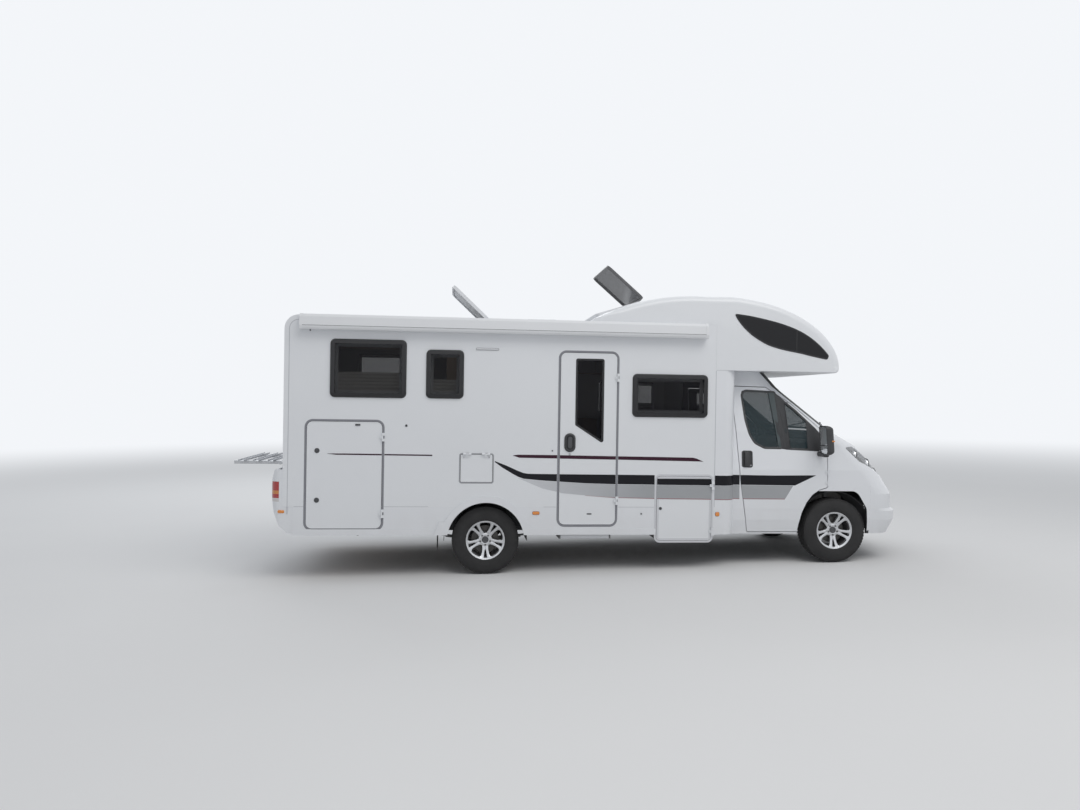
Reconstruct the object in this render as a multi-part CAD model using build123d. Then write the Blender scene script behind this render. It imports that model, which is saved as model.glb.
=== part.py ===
"""Motorhome with a sleeping space over the cab, on a front-driven van chassis.

Row frame: +X forward, +Y to the vehicle's left, +Z up, origin on the ground under the middle of
the bounding box. Every piece is drawn in the body frame, whose floor and roof lines are level,
and is turned nose-down by the rake when it is written, so that all four tyres meet the ground.
"""

from build123d import *
from math import atan2, cos, degrees, hypot, radians, sin, sqrt
import os

# Driving dimensions, in millimetres and degrees

RAKE = 1.25  # nose-down attitude of the unladen vehicle
CLEAR = 0.3  # clearance between pieces that seat on each other
LEAF_GAP = 8.0  # shut line round doors and hatches

WHEELBASE = 4035.0
FRONT_AXLE_X = 2945.0  # in the level frame
TYRE_RADIUS = 372.0
TYRE_WIDTH = 225.0
RIM_RADIUS = 203.0
FRONT_TRACK = 1810.0
REAR_TRACK = 1980.0
KINGPIN_INSET = 150.0  # from the wheel's middle plane

HALF_WIDTH = 1150.0
WALL = 34.0
REAR_X = -3255.0
SIDE_FRONT_X = 1452.0
SKIRT_BOTTOM = 417.0
SKIRT_THICKNESS = 20.0
WALL_BOTTOM = 720.0
ROOF_TOP = 2760.0
REAR_CORNER_RADIUS = 150.0
FLOOR_THICKNESS = 40.0
GARAGE_FRONT_X = -2190.0
GARAGE_FLOOR_TOP = 480.0

ALCOVE_FLOOR = 2258.0
ALCOVE_WALL = 36.0

CAB_REAR_X = 1640.0
CAB_WALL = 64.0
GLASS = 6.0
CAB_FLOOR_TOP = 700.0

RAIL_HALF_GAP = 365.0  # from the centreline to a chassis rail's inner face
RAIL_WIDTH = 60.0
RAIL_TOP = 640.0
RAIL_HEIGHT = 150.0

LEAF_THICKNESS = 30.0
LEAF_PROUD = 4.0  # how far a leaf's face stands out of the wall
HINGE_RADIUS = 8.0
HINGE_OUT = 18.0  # from the wall's face to the hinge axis
HINGE_ALONG = 6.0  # from a leaf's edge to the hinge axis

ARCH_RADIUS = 420.0
FLARE_RADIUS = 492.0
FLARE_PROUD = 18.0
LINER_RADIUS = 455.0
LINER_THICKNESS = 6.0
HUB_BORE = 32.0

# Leaves in the right wall: lowest x, highest x, lowest z, highest z, corner radius
RIGHT_LEAVES = {
    "entry_door": (-300.0, 325.0, 530.0, 2415.0, 60.0),
    "garage_door": (-3008.0, -2222.0, 489.0, 1628.0, 60.0),
    "gas_locker_door": (794.0, 1416.0, 353.0, 1065.0, 40.0),
    "service_hatch": (-1380.0, -1037.0, 992.0, 1288.0, 12.0),
}
# The same columns for the left wall
LEFT_LEAVES = {"toilet_hatch": (-820.0, -430.0, 800.0, 1110.0, 12.0)}

# Window panes: lowest x, highest x, lowest z, highest z
RIGHT_PANES = [
    (-2770.0, -1980.0, 1895.0, 2505.0),
    (-1757.0, -1366.0, 1898.0, 2410.0),
    (508.0, 1352.0, 1728.0, 2192.0),
]
LEFT_PANES = [
    (-2770.0, -1980.0, 1895.0, 2505.0),
    (-700.0, 100.0, 1790.0, 2330.0),
    (500.0, 1340.0, 1728.0, 2192.0),
]
PANE_LAP = 26.0  # how far a pane laps the wall round its opening
PANE_THICKNESS = 22.0
PANE_CORNER = 45.0

# Cab sections from the sill up: z, half width, x where side and front meet, x of the nose, corner
# radius
CAB_SECTIONS = [
    (400.0, 985.0, 3600.0, 3800.0, 260.0),
    (560.0, 1008.0, 3684.0, 3884.0, 300.0),
    (660.0, 1012.0, 3684.0, 3884.0, 300.0),
    (692.0, 1014.0, 3644.0, 3846.0, 310.0),
    (857.0, 1015.0, 3636.0, 3840.0, 320.0),
    (1133.0, 1012.0, 3450.0, 3680.0, 340.0),
    (1419.0, 985.0, 3150.0, 3420.0, 330.0),
    (1568.0, 972.0, 2860.0, 3170.0, 260.0),
    (2090.0, 885.0, 2200.0, 2500.0, 240.0),
    (ALCOVE_FLOOR - CLEAR, 850.0, 2060.0, 2350.0, 240.0),
]

# Alcove sections across the body: distance from the centreline, x of the nose, drop of the roof
ALCOVE_SECTIONS = [
    (HALF_WIDTH, 2800.0, 62.0),
    (HALF_WIDTH - 20.0, 2860.0, 26.0),
    (HALF_WIDTH - 70.0, 2925.0, 0.0),
    (880.0, 3020.0, -6.0),
    (400.0, 3076.0, -12.0),
]
ALCOVE_CROWN = 12.0  # rise of the roof's middle over its sides
# The roof's rise over the alcove is one arc through three points: x and z
ALCOVE_START = (0.0, ROOF_TOP)
ALCOVE_FOOT = (70.0, 2800.0)
ALCOVE_RISE = (600.0, 3002.0)
ALCOVE_TOP = (1350.0, 3078.0)


def to_body(x, z):
    """A point of the level frame, seen in the body frame."""
    a = radians(RAKE)
    return x * cos(a) - z * sin(a), x * sin(a) + z * cos(a)


def to_level(x, y, z):
    """A point of the body frame, seen in the level frame."""
    a = radians(RAKE)
    return x * cos(a) + z * sin(a), y, z * cos(a) - x * sin(a)


FRONT_AXLE = to_body(FRONT_AXLE_X, TYRE_RADIUS)
REAR_AXLE = to_body(FRONT_AXLE_X - WHEELBASE, TYRE_RADIUS)


# Drawing helpers


def side_view(sketch, y0, y1):
    """A sketch of (x, z) points, made solid from y0 to y1."""
    plane = Plane(origin=(0, y0, 0), x_dir=(1, 0, 0), z_dir=(0, -1, 0))
    return extrude(plane * sketch, amount=y1 - y0, dir=(0, 1, 0))


def front_view(sketch, x0, x1):
    """A sketch of (y, z) points, made solid from x0 to x1."""
    plane = Plane(origin=(x0, 0, 0), x_dir=(0, 1, 0), z_dir=(1, 0, 0))
    return extrude(plane * sketch, amount=x1 - x0)


def plan_view(sketch, z0, z1):
    """A sketch of (x, y) points, made solid from z0 to z1."""
    return extrude(Pos(0, 0, z0) * sketch, amount=z1 - z0)


def outline(points, radius=0.0):
    """A closed polygon with every corner rounded."""
    face = make_face(Polyline(*points, close=True))
    return fillet(face.vertices(), radius) if radius else face


def rounded(x0, x1, z0, z1, radius, grow=0.0):
    """A rectangle with round corners, grown by the same amount all round."""
    box = RectangleRounded(x1 - x0 + 2 * grow, z1 - z0 + 2 * grow, radius + grow)
    return Pos((x0 + x1) / 2, (z0 + z1) / 2) * box


def brick(x0, x1, y0, y1, z0, z1):
    """A box between two corners."""
    return Pos((x0 + x1) / 2, (y0 + y1) / 2, (z0 + z1) / 2) * Box(x1 - x0, y1 - y0, z1 - z0)


def cross_bar(x, z, y0, y1, radius):
    """A round bar that runs across the vehicle."""
    return side_view(Pos(x, z) * Circle(radius), y0, y1)


def both_sides(shape):
    """A shape with its mirror image on the other side of the vehicle."""
    return shape + mirror(shape, about=Plane.XZ)


def side_slab(sketch, side, depth, out=0.0, inner=0.0):
    """A sketch made solid in a side wall: from `inner` to `depth` behind the face, `out` proud."""
    y0 = side * (HALF_WIDTH + out)
    y1 = side * (HALF_WIDTH - depth)
    if inner:
        y0 = side * (HALF_WIDTH - inner)
    return side_view(sketch, min(y0, y1), max(y0, y1))


# Side walls, skirts and what opens in them


def leaf_cutter(leaf, side):
    x0, x1, z0, z1, radius = leaf
    return side_slab(rounded(x0, x1, z0, z1, radius, LEAF_GAP), side, 2 * WALL, out=WALL)


def hinge_stations(z0, z1):
    """Heights of a leaf's two hinges."""
    inset = max(40.0, 0.14 * (z1 - z0))
    return (z0 + inset, z1 - inset)


HINGE_LENGTH = 30.0


def upright_hinge(x, side, z, wall_side):
    """A hinge on an upright axis: its moving knuckle and its two fixed ones. wall_side is the
    direction in x in which the wall lies."""
    y = side * (HALF_WIDTH + HINGE_OUT)
    pin = plan_view(Pos(x, y) * Circle(HINGE_RADIUS), z - HINGE_LENGTH / 2, z + HINGE_LENGTH / 2)
    face = side * (HALF_WIDTH + LEAF_PROUD / 2)
    reach = HINGE_ALONG + 20.0
    strap = brick(*sorted((x, x - wall_side * reach)), *sorted((y, face)),
                  z - HINGE_LENGTH / 2, z + HINGE_LENGTH / 2)
    moving = pin + strap
    fixed = []
    for step in (-1, 1):
        middle = z + step * (HINGE_LENGTH + CLEAR)
        low, high = middle - HINGE_LENGTH / 2, middle + HINGE_LENGTH / 2
        foot = brick(*sorted((x, x + wall_side * reach)),
                     *sorted((y, side * (HALF_WIDTH - 2.0))), low, high)
        fixed.append(plan_view(Pos(x, y) * Circle(HINGE_RADIUS), low, high) + foot)
    return moving, fixed[0] + fixed[1]


def leaf_panel(leaf, side):
    x0, x1, z0, z1, radius = leaf
    return side_slab(rounded(x0, x1, z0, z1, radius), side,
                     LEAF_THICKNESS - LEAF_PROUD, out=LEAF_PROUD)


def upright_leaf(leaf, side):
    """A leaf hinged along its front edge, and the fixed hinge halves that the wall carries."""
    panel = leaf_panel(leaf, side)
    fixed = None
    for z in hinge_stations(leaf[2], leaf[3]):
        moving, still = upright_hinge(leaf[1] + HINGE_ALONG, side, z, 1)
        panel += moving
        fixed = still if fixed is None else fixed + still
    return panel, fixed


def top_leaf(leaf, side):
    """A hatch hinged along its top edge, and its fixed hinge halves."""
    x0, x1, z0, z1, radius = leaf
    y = side * (HALF_WIDTH + HINGE_OUT)
    z = z1 + HINGE_ALONG
    panel = leaf_panel(leaf, side)
    fixed = None
    half = HINGE_LENGTH / 2
    reach = HINGE_ALONG + 20.0
    for x in (x0 + 70.0, x1 - 70.0):
        strap = brick(x - half, x + half, *sorted((y, side * (HALF_WIDTH + LEAF_PROUD / 2))),
                      z - reach, z)
        barrel = front_view(Pos(y, z) * Circle(HINGE_RADIUS), x - half, x + half)
        panel += strap + barrel
        for step in (-1, 1):
            middle = x + step * (HINGE_LENGTH + CLEAR)
            foot = brick(middle - half, middle + half,
                         *sorted((y, side * (HALF_WIDTH - 2.0))), z, z + reach)
            barrel = front_view(Pos(y, z) * Circle(HINGE_RADIUS), middle - half, middle + half)
            fixed = foot + barrel if fixed is None else fixed + foot + barrel
    return panel, fixed


ENTRY_GLASS = [(-130.0, 2350.0), (178.0, 2350.0), (178.0, 1427.0), (-130.0, 1625.0)]


def entry_door():
    """Habitation door with its slanted window cut through."""
    panel, fixed = upright_leaf(RIGHT_LEAVES["entry_door"], -1)
    window = outline(ENTRY_GLASS, 12.0)
    return panel - side_slab(window, -1, 2 * WALL, out=WALL), fixed


def entry_glass():
    window = outline(ENTRY_GLASS, 12.0)
    pane = offset(window, -CLEAR)
    return side_slab(pane, -1, LEAF_THICKNESS - LEAF_PROUD - 6.0, out=LEAF_PROUD - 2.0)


def wall_outline():
    shell = make_face(Polyline(
        (REAR_X, WALL_BOTTOM), (SIDE_FRONT_X, WALL_BOTTOM), (SIDE_FRONT_X, ROOF_TOP),
        (REAR_X, ROOF_TOP), close=True))
    corner = shell.vertices().sort_by(Axis.X)[:2].sort_by(Axis.Y)[-1]
    return fillet(corner, REAR_CORNER_RADIUS)


def pane_openings(panes):
    shapes = [rounded(*pane, PANE_CORNER, -PANE_LAP) for pane in panes]
    return shapes


VENT = (-1500.0, -1020.0)  # lowest and highest x of the fridge vents
VENT_ROWS = (1080.0, 1620.0)  # middle heights of the two vents
VENT_HEIGHT = 240.0
VENT_SLOTS = 6


def vent_slots(side):
    """Louvre slots of the fridge vents, cut half through the wall."""
    pitch = VENT_HEIGHT / VENT_SLOTS
    cutter = None
    for middle in VENT_ROWS:
        for row in range(VENT_SLOTS):
            z = middle - VENT_HEIGHT / 2 + (row + 0.5) * pitch
            slot = side_slab(rounded(*VENT, z - 0.28 * pitch, z + 0.28 * pitch, 4.0),
                             side, WALL / 2, out=WALL)
            cutter = slot if cutter is None else cutter + slot
    return cutter


def side_wall(side, panes, leaves, hinges):
    wall = side_slab(wall_outline(), side, WALL)
    for opening in pane_openings(panes):
        wall -= side_slab(opening, side, 2 * WALL, out=WALL)
    for leaf in leaves.values():
        wall -= leaf_cutter(leaf, side)
    wall -= side_slab(Pos(*REAR_AXLE) * Circle(ARCH_RADIUS), side, 2 * WALL, out=WALL)
    for name, fixed in hinges.items():
        wall += fixed & side_view(outline([
            (REAR_X, WALL_BOTTOM), (SIDE_FRONT_X, WALL_BOTTOM),
            (SIDE_FRONT_X, ROOF_TOP), (REAR_X, ROOF_TOP)]), -2 * HALF_WIDTH, 2 * HALF_WIDTH)
    if side > 0:
        wall -= vent_slots(side)
    return wall


SKIRT_REAR_X = -3150.0
SKIRT_LIP = 14.0  # how far the bead at the skirt's foot stands out
SKIRT_LIP_TOP = 482.0


def skirt(side, leaves, hinges):
    """Lower side panel with the wheel arch and its flare."""
    front = SIDE_FRONT_X
    panel = side_slab(outline([
        (SKIRT_REAR_X, SKIRT_BOTTOM), (front, SKIRT_BOTTOM),
        (front, WALL_BOTTOM - CLEAR), (SKIRT_REAR_X, WALL_BOTTOM - CLEAR)]),
        side, SKIRT_THICKNESS)
    bead = side_slab(outline([
        (SKIRT_REAR_X, SKIRT_BOTTOM), (front, SKIRT_BOTTOM),
        (front, SKIRT_LIP_TOP - SKIRT_LIP), (front - SKIRT_LIP, SKIRT_LIP_TOP),
        (SKIRT_REAR_X, SKIRT_LIP_TOP)]), side, 0.0, out=SKIRT_LIP / 2)
    flare = Pos(*REAR_AXLE) * Circle(FLARE_RADIUS)
    foot = outline([
        (REAR_AXLE[0] - 560.0, SKIRT_BOTTOM), (REAR_AXLE[0] + 500.0, SKIRT_BOTTOM),
        (REAR_AXLE[0] + 470.0, SKIRT_BOTTOM + 130.0), (REAR_AXLE[0] - 500.0, SKIRT_BOTTOM + 150.0)])
    above = Pos(REAR_AXLE[0], SKIRT_BOTTOM + 600.0) * Rectangle(1400.0, 1200.0)
    panel += bead + side_slab((flare & above) + foot, side, 0.0, out=FLARE_PROUD)
    panel -= side_slab(Pos(*REAR_AXLE) * Circle(ARCH_RADIUS), side, 2 * WALL, out=WALL)
    for leaf in leaves.values():
        panel -= leaf_cutter(leaf, side)
    for fixed in hinges.values():
        panel += fixed & side_view(outline([
            (REAR_X, 0.0), (SIDE_FRONT_X, 0.0), (SIDE_FRONT_X, WALL_BOTTOM - CLEAR),
            (REAR_X, WALL_BOTTOM - CLEAR)]), -2 * HALF_WIDTH, 2 * HALF_WIDTH)
    return panel


def windows():
    """Top-hung acrylic panes on both walls, and the shaped alcove panes."""
    panes = None
    for side, table in ((-1, RIGHT_PANES), (1, LEFT_PANES)):
        for pane in table:
            solid = side_slab(rounded(*pane, PANE_CORNER), side, -CLEAR, out=PANE_THICKNESS)
            panes = solid if panes is None else panes + solid
    return panes


# Roof, rear wall and bumper


ROOF_REAR_X = REAR_X + REAR_CORNER_RADIUS
ROOF_FRONT_X = 60.0
ROOF_RIM = 30.0  # width of a rooflight's curb
LID_THICKNESS = 36.0
LID_LAP = 40.0
LID_HINGE_OUT = 48.0  # from the opening's front edge to the lid's hinge axis
LID_EARS = 250.0  # distance of the hinge ears from the centreline
# Rooflights that open: middle x, opening along x and across, curb height, and how far the
# photograph shows the lid raised
ROOFLIGHTS = {
    "rooflight_rear": (-1380.0, 500.0, 700.0, 46.0, 43.0),
    "rooflight_front": (472.0, 500.0, 860.0, 34.0, 58.0),
}
VENT_LIDS = [(-2650.0, 200.0), (-450.0, -350.0)]  # middle x and y of the small closed rooflights
VENT_LID = 400.0


def roof_panel():
    """Flat roof between the rear corner and the slope of the alcove."""
    inner = HALF_WIDTH - WALL - CLEAR
    panel = brick(ROOF_REAR_X, ROOF_FRONT_X, -inner, inner, ROOF_TOP - WALL, ROOF_TOP)
    return panel - rooflight_hole("rooflight_rear")


def alcove_roof(x):
    """Height and slope in degrees of the alcove's roof along the centreline."""
    (ax, az), (bx, bz), (cx, cz) = ALCOVE_FOOT, ALCOVE_RISE, ALCOVE_TOP
    d = 2.0 * (ax * (bz - cz) + bx * (cz - az) + cx * (az - bz))
    a2, b2, c2 = ax * ax + az * az, bx * bx + bz * bz, cx * cx + cz * cz
    ux = (a2 * (bz - cz) + b2 * (cz - az) + c2 * (az - bz)) / d
    uz = (a2 * (cx - bx) + b2 * (ax - cx) + c2 * (bx - ax)) / d
    radius = hypot(ax - ux, az - uz)
    rise = sqrt(radius ** 2 - (x - ux) ** 2)
    return uz + rise + ALCOVE_CROWN, degrees(atan2(ux - x, rise))


def rooflight_place(name):
    """Where a rooflight's middle lies on the roof, with x along the roof's slope."""
    x = ROOFLIGHTS[name][0]
    height, slope = alcove_roof(x) if x > ALCOVE_FOOT[0] else (ROOF_TOP, 0.0)
    return Pos(x, 0, height) * Rot(0, -slope, 0)


def rooflight_hole(name):
    middle, along, across, curb, raised = ROOFLIGHTS[name]
    return rooflight_place(name) * Box(along, across, 6 * WALL)


def rooflight_curb(name):
    """Curb round one opening, with the fixed ears of the lid's hinge."""
    middle, along, across, curb, raised = ROOFLIGHTS[name]
    foot = CLEAR if name == "rooflight_rear" else -60.0
    outer = RectangleRounded(along + 2 * ROOF_RIM, across + 2 * ROOF_RIM, 50.0)
    frame = plan_view(outer - RectangleRounded(along, across, 20.0), foot, curb)
    hinge_x, hinge_z = along / 2 + LID_HINGE_OUT, curb - 8.0
    for y in (-LID_EARS, LID_EARS):
        frame += side_view(outline([
            (hinge_x - 26.0, 6.0), (hinge_x + 10.0, 6.0),
            (hinge_x + 10.0, hinge_z + 8.0), (hinge_x - 10.0, hinge_z + 8.0)]),
            y - 42.0, y - 22.0 - CLEAR)
    return rooflight_place(name) * frame


def rooflight_frames():
    """Curbs of the two large rooflights, and the two small closed rooflights."""
    frames = rooflight_curb("rooflight_rear")
    frames += rooflight_curb("rooflight_front") - alcove_form(-CLEAR)
    for vx, vy in VENT_LIDS:
        base = Pos(vx, vy) * RectangleRounded(VENT_LID, VENT_LID, 40.0)
        dome = Pos(vx, vy) * RectangleRounded(VENT_LID - 30.0, VENT_LID - 30.0, 40.0)
        frames += plan_view(base, ROOF_TOP + CLEAR, ROOF_TOP + 26.0)
        frames += plan_view(dome, ROOF_TOP + 26.0, ROOF_TOP + 58.0)
    return frames


def rooflight_lid(name):
    """Hollow acrylic lid, raised as it stands in the photograph."""
    middle, along, across, curb, raised = ROOFLIGHTS[name]
    hinge_x, hinge_z = along / 2 + LID_HINGE_OUT, curb - 8.0
    low = curb + 5.0
    lid = plan_view(RectangleRounded(along + 2 * LID_LAP, across + 2 * LID_LAP, 60.0),
                    low, low + LID_THICKNESS)
    lid -= plan_view(RectangleRounded(along + LID_LAP, across + LID_LAP, 50.0),
                     low - 1.0, low + LID_THICKNESS / 2)
    for y in (-LID_EARS, LID_EARS):
        lid += cross_bar(hinge_x, hinge_z, y - 22.0, y + 22.0, 7.0)
        lid += brick(along / 2 + LID_LAP - 20.0, hinge_x, y - 22.0, y + 22.0, low + 1.0,
                     low + 12.0)
        lid += brick(hinge_x - 7.0, hinge_x + 7.0, y - 22.0, y + 22.0, hinge_z, low + 12.0)
    hinge = Axis((hinge_x, 0, hinge_z), (0, 1, 0))
    return rooflight_place(name) * lid.rotate(hinge, raised)


def rear_wall():
    """Rear panel that turns forward over the roof corner."""
    r = REAR_CORNER_RADIUS
    low = REAR_WALL_FOOT
    profile = make_face([
        Line((REAR_X, low), (REAR_X, ROOF_TOP - r)),
        RadiusArc((REAR_X, ROOF_TOP - r), (REAR_X + r, ROOF_TOP), r, short_sagitta=True),
        Line((REAR_X + r, ROOF_TOP), (REAR_X + r, ROOF_TOP - WALL)),
        RadiusArc((REAR_X + r, ROOF_TOP - WALL), (REAR_X + WALL, ROOF_TOP - r), -(r - WALL)),
        Line((REAR_X + WALL, ROOF_TOP - r), (REAR_X + WALL, low)),
        Line((REAR_X + WALL, low), (REAR_X, low)),
    ])
    inner = HALF_WIDTH - WALL - CLEAR
    return side_view(profile, -inner, inner)


REAR_WALL_FOOT = 560.0
BUMPER_TOP = 1112.0
# Rear bumper, from its top edge down its back: x and z
BUMPER_BACK = [(-3340.0, BUMPER_TOP), (-3372.0, 1000.0), (-3382.0, 864.0), (-3350.0, 672.0),
               (-3290.0, 516.0), (-3205.0, 434.0)]
BUMPER_WALL = 26.0


def bumper_solid(inset):
    back = [(x + inset, z) for x, z in BUMPER_BACK]
    profile = outline([*back, (SKIRT_REAR_X - CLEAR + inset, 434.0 - 2 * inset),
                       (SKIRT_REAR_X - CLEAR + inset, WALL_BOTTOM - CLEAR),
                       (REAR_X - CLEAR + inset, WALL_BOTTOM - CLEAR),
                       (REAR_X - CLEAR + inset, BUMPER_TOP)])
    half = HALF_WIDTH - 4.0 - inset
    solid = side_view(profile, -half, half)
    nose = Pos(BUMPER_BACK[2][0] + inset + 1000.0, 0) * RectangleRounded(2000.0, 2 * half, 110.0)
    return solid & plan_view(nose, 300.0, 1300.0)


LAMP_ROWS = (772.0, 985.0)  # lowest and highest z of the tail lamps
LAMP_INNER_Y = 1010.0


def lamp_zone(grow):
    """Where the right and left tail lamps sit in the bumper's corners."""
    zone = brick(-3420.0, -3290.0, LAMP_INNER_Y - grow, HALF_WIDTH + 20.0,
                 LAMP_ROWS[0] - grow, LAMP_ROWS[1] + grow)
    return both_sides(zone)


def rear_bumper():
    outer = bumper_solid(0.0)
    inner = bumper_solid(BUMPER_WALL)
    shell = outer - inner
    shell -= lamp_zone(CLEAR)
    return shell


def tail_lamps():
    shell = bumper_solid(0.0) - bumper_solid(BUMPER_WALL)
    return shell & lamp_zone(0.0)


# Alcove over the cab


def alcove_section(y, nose_x, drop, inset):
    """Side profile of the alcove at one distance from the centreline."""
    grow = (nose_x - inset - ALCOVE_TOP[0]) / (3000.0 - ALCOVE_TOP[0])

    def at(x, z):
        if x > ALCOVE_TOP[0]:
            x = ALCOVE_TOP[0] + (x - ALCOVE_TOP[0]) * grow
        return (x, z - drop - inset if z > 2400.0 else z + inset)

    top = at(*ALCOVE_TOP)
    start = (ALCOVE_START[0] + 2 * inset, ALCOVE_START[1] - (60.0 if inset else 0.0))
    low_rear = (SIDE_FRONT_X + 0.4 if not inset else SIDE_FRONT_X - 60.0, start[1])
    rise = at(*ALCOVE_RISE)
    foot = (start[0] + ALCOVE_FOOT[0], max(start[1] + 1.0, at(*ALCOVE_FOOT)[1]))
    shoulder = at(2790.0, 2567.0)
    nose = at(3000.0, 2300.0)
    chin = (nose[0] - 30.0, ALCOVE_FLOOR + inset)
    heel = (low_rear[0], ALCOVE_FLOOR + inset)
    wire = Wire([
        Edge.make_line((*start, 0), (*foot, 0)),
        Edge.make_three_point_arc((*foot, 0), (*rise, 0), (*top, 0)),
        Edge.make_three_point_arc((*top, 0), (*at(2230.0, 2945.0), 0), (*shoulder, 0)),
        Edge.make_three_point_arc((*shoulder, 0), (*at(2915.0, 2430.0), 0), (*nose, 0)),
        Edge.make_line((*nose, 0), (*chin, 0)),
        Edge.make_line((*chin, 0), (*heel, 0)),
        Edge.make_line((*heel, 0), (*low_rear, 0)),
        Edge.make_line((*low_rear, 0), (*start, 0)),
    ])
    plane = Plane(origin=(0, y, 0), x_dir=(1, 0, 0), z_dir=(0, -1, 0))
    return plane * wire


def alcove_form(inset):
    """The alcove's outer form, or the same form drawn in by the wall's thickness."""
    sections = []
    for y, nose_x, drop in ALCOVE_SECTIONS:
        sections.append(alcove_section(-(y - inset), nose_x, drop, inset))
    for y, nose_x, drop in reversed(ALCOVE_SECTIONS):
        sections.append(alcove_section(y - inset, nose_x, drop, inset))
    return Solid.make_loft(sections, ruled=True)


# Shaped side window of the alcove: x and z
ALCOVE_GLASS = [(1650.0, 2895.0), (2120.0, 2818.0), (2420.0, 2725.0), (2600.0, 2620.0),
                (2760.0, 2450.0), (2725.0, 2405.0), (2423.0, 2470.0), (2129.0, 2518.0),
                (1859.0, 2630.0)]
GLASS_RECESS = 3.0


def alcove_glass_zone(grow):
    shape = outline(ALCOVE_GLASS, 18.0)
    if grow:
        shape = offset(shape, grow)
    return side_view(shape, -HALF_WIDTH - 40.0, -HALF_WIDTH + 110.0)


def alcove():
    shell = alcove_form(0.0) - alcove_form(ALCOVE_WALL)
    shell -= both_sides(alcove_glass_zone(0.0))
    return shell - rooflight_hole("rooflight_front")


def alcove_windows():
    skin = alcove_form(GLASS_RECESS) - alcove_form(ALCOVE_WALL / 2)
    return skin & both_sides(alcove_glass_zone(-CLEAR))


# Cab: one outer form, cut into the panels that the real cab has


def cab_section(z, half, corner_x, nose_x, radius, inset):
    half -= inset
    corner_x -= inset
    nose_x -= inset
    rear = CAB_REAR_X - (200.0 if inset else 0.0)
    face = make_face([
        Line((rear, -half), (corner_x, -half)),
        ThreePointArc((corner_x, -half), (nose_x, 0), (corner_x, half)),
        Line((corner_x, half), (rear, half)),
        Line((rear, half), (rear, -half)),
    ])
    front = face.vertices().sort_by(Axis.X)[-2:]
    face = fillet(front, radius - inset)
    return Pos(0, 0, z) * face.wire()


def cab_form(inset):
    """The cab's outer form, or the same form drawn in, and then longer at its open ends."""
    sections = []
    last = len(CAB_SECTIONS) - 1
    for row, (z, half, corner_x, nose_x, radius) in enumerate(CAB_SECTIONS):
        if inset and row == 0:
            z -= 30.0
        if inset and row == last:
            z += 30.0
        sections.append(cab_section(z, half, corner_x, nose_x, radius, inset))
    return Solid.make_loft(sections, ruled=True)


# Cab door, seen from the side: x and z
DOOR_EDGE = [(1716.0, 2086.0), (2130.0, 2078.0), (2450.0, 1880.0), (2740.0, 1630.0),
             (2838.0, 1530.0), (2838.0, 935.0), (2745.0, 908.0), (2660.0, 850.0),
             (2590.0, 760.0), (2535.0, 640.0), (2505.0, 520.0), (2490.0, 424.0),
             (1896.0, 424.0), (1806.0, 1016.0)]
REAR_QUARTER = [(1832.0, 2040.0), (2172.0, 2028.0), (2272.0, 1382.0), (2090.0, 1384.0),
                (1975.0, 1440.0), (1915.0, 1540.0), (1872.0, 1700.0)]
FRONT_QUARTER = [(2238.0, 1998.0), (2470.0, 1815.0), (2700.0, 1602.0), (2738.0, 1548.0),
                 (2745.0, 1362.0), (2338.0, 1378.0)]
DOOR_HINGE_OUT = 7.0
DOOR_HINGE_RADIUS = 6.0


def door_zone(side, grow):
    """The space that one cab door takes up, grown by the shut line."""
    shape = outline(DOOR_EDGE, 20.0)
    if grow:
        shape = offset(shape, grow)
    low, high = sorted((side * 700.0, side * 1100.0))
    return side_view(shape, low, high)


def glass_zone(side, grow):
    shapes = None
    for points in (REAR_QUARTER, FRONT_QUARTER):
        shape = outline(points, 22.0)
        if grow:
            shape = offset(shape, grow)
        low, high = sorted((side * 700.0, side * 1100.0))
        solid = side_view(shape, low, high)
        shapes = solid if shapes is None else shapes + solid
    return shapes


def door_hinge_axis():
    """x and distance from the centreline of a cab door's hinge axis."""
    return DOOR_EDGE[4][0] + LEAF_GAP / 2, CAB_SECTIONS[5][1] + DOOR_HINGE_OUT


def door_hinges(side):
    """Moving and fixed knuckles of a cab door."""
    x, y = door_hinge_axis()
    y *= side
    moving = fixed = None
    for z in (990.0, 1110.0):
        for step in (-1, 0, 1):
            middle = z + step * (24.0 + CLEAR)
            barrel = plan_view(Pos(x, y) * Circle(DOOR_HINGE_RADIUS), middle - 12.0, middle + 12.0)
            way = 1 if step else -1
            foot = brick(*sorted((x, x + way * 26.0)), *sorted((y, y - side * 16.0)),
                         middle - 12.0, middle + 12.0)
            piece = barrel + foot
            if step:
                fixed = piece if fixed is None else fixed + piece
            else:
                moving = piece if moving is None else moving + piece
    return moving, fixed


WINDSCREEN = [(-800.0, 1600.0), (800.0, 1600.0), (735.0, 2062.0), (-735.0, 2062.0)]
BONNET = [(-865.0, 1552.0), (-865.0, 1440.0), (-740.0, 1262.0), (-545.0, 1140.0),
          (545.0, 1140.0), (740.0, 1262.0), (865.0, 1440.0), (865.0, 1552.0)]
# One headlamp, seen from the front: distance from the centreline and z
HEADLAMP = [(560.0, 1010.0), (720.0, 985.0), (900.0, 1080.0), (985.0, 1230.0), (975.0, 1400.0),
            (905.0, 1405.0), (765.0, 1235.0), (560.0, 1120.0)]
BUMPER_SEAM = 985.0
BUMPER_SEAM_X = 3360.0
# Grille openings: half width, lowest z, highest z
GRILLES = [(500.0, 1020.0, 1104.0), (640.0, 470.0, 640.0), (520.0, 715.0, 820.0)]
GRILLE_BAR = 14.0
GRILLE_PITCH = 42.0


BONNET_SEAL = 16.0  # extra gap along the bonnet's rear edge


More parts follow.
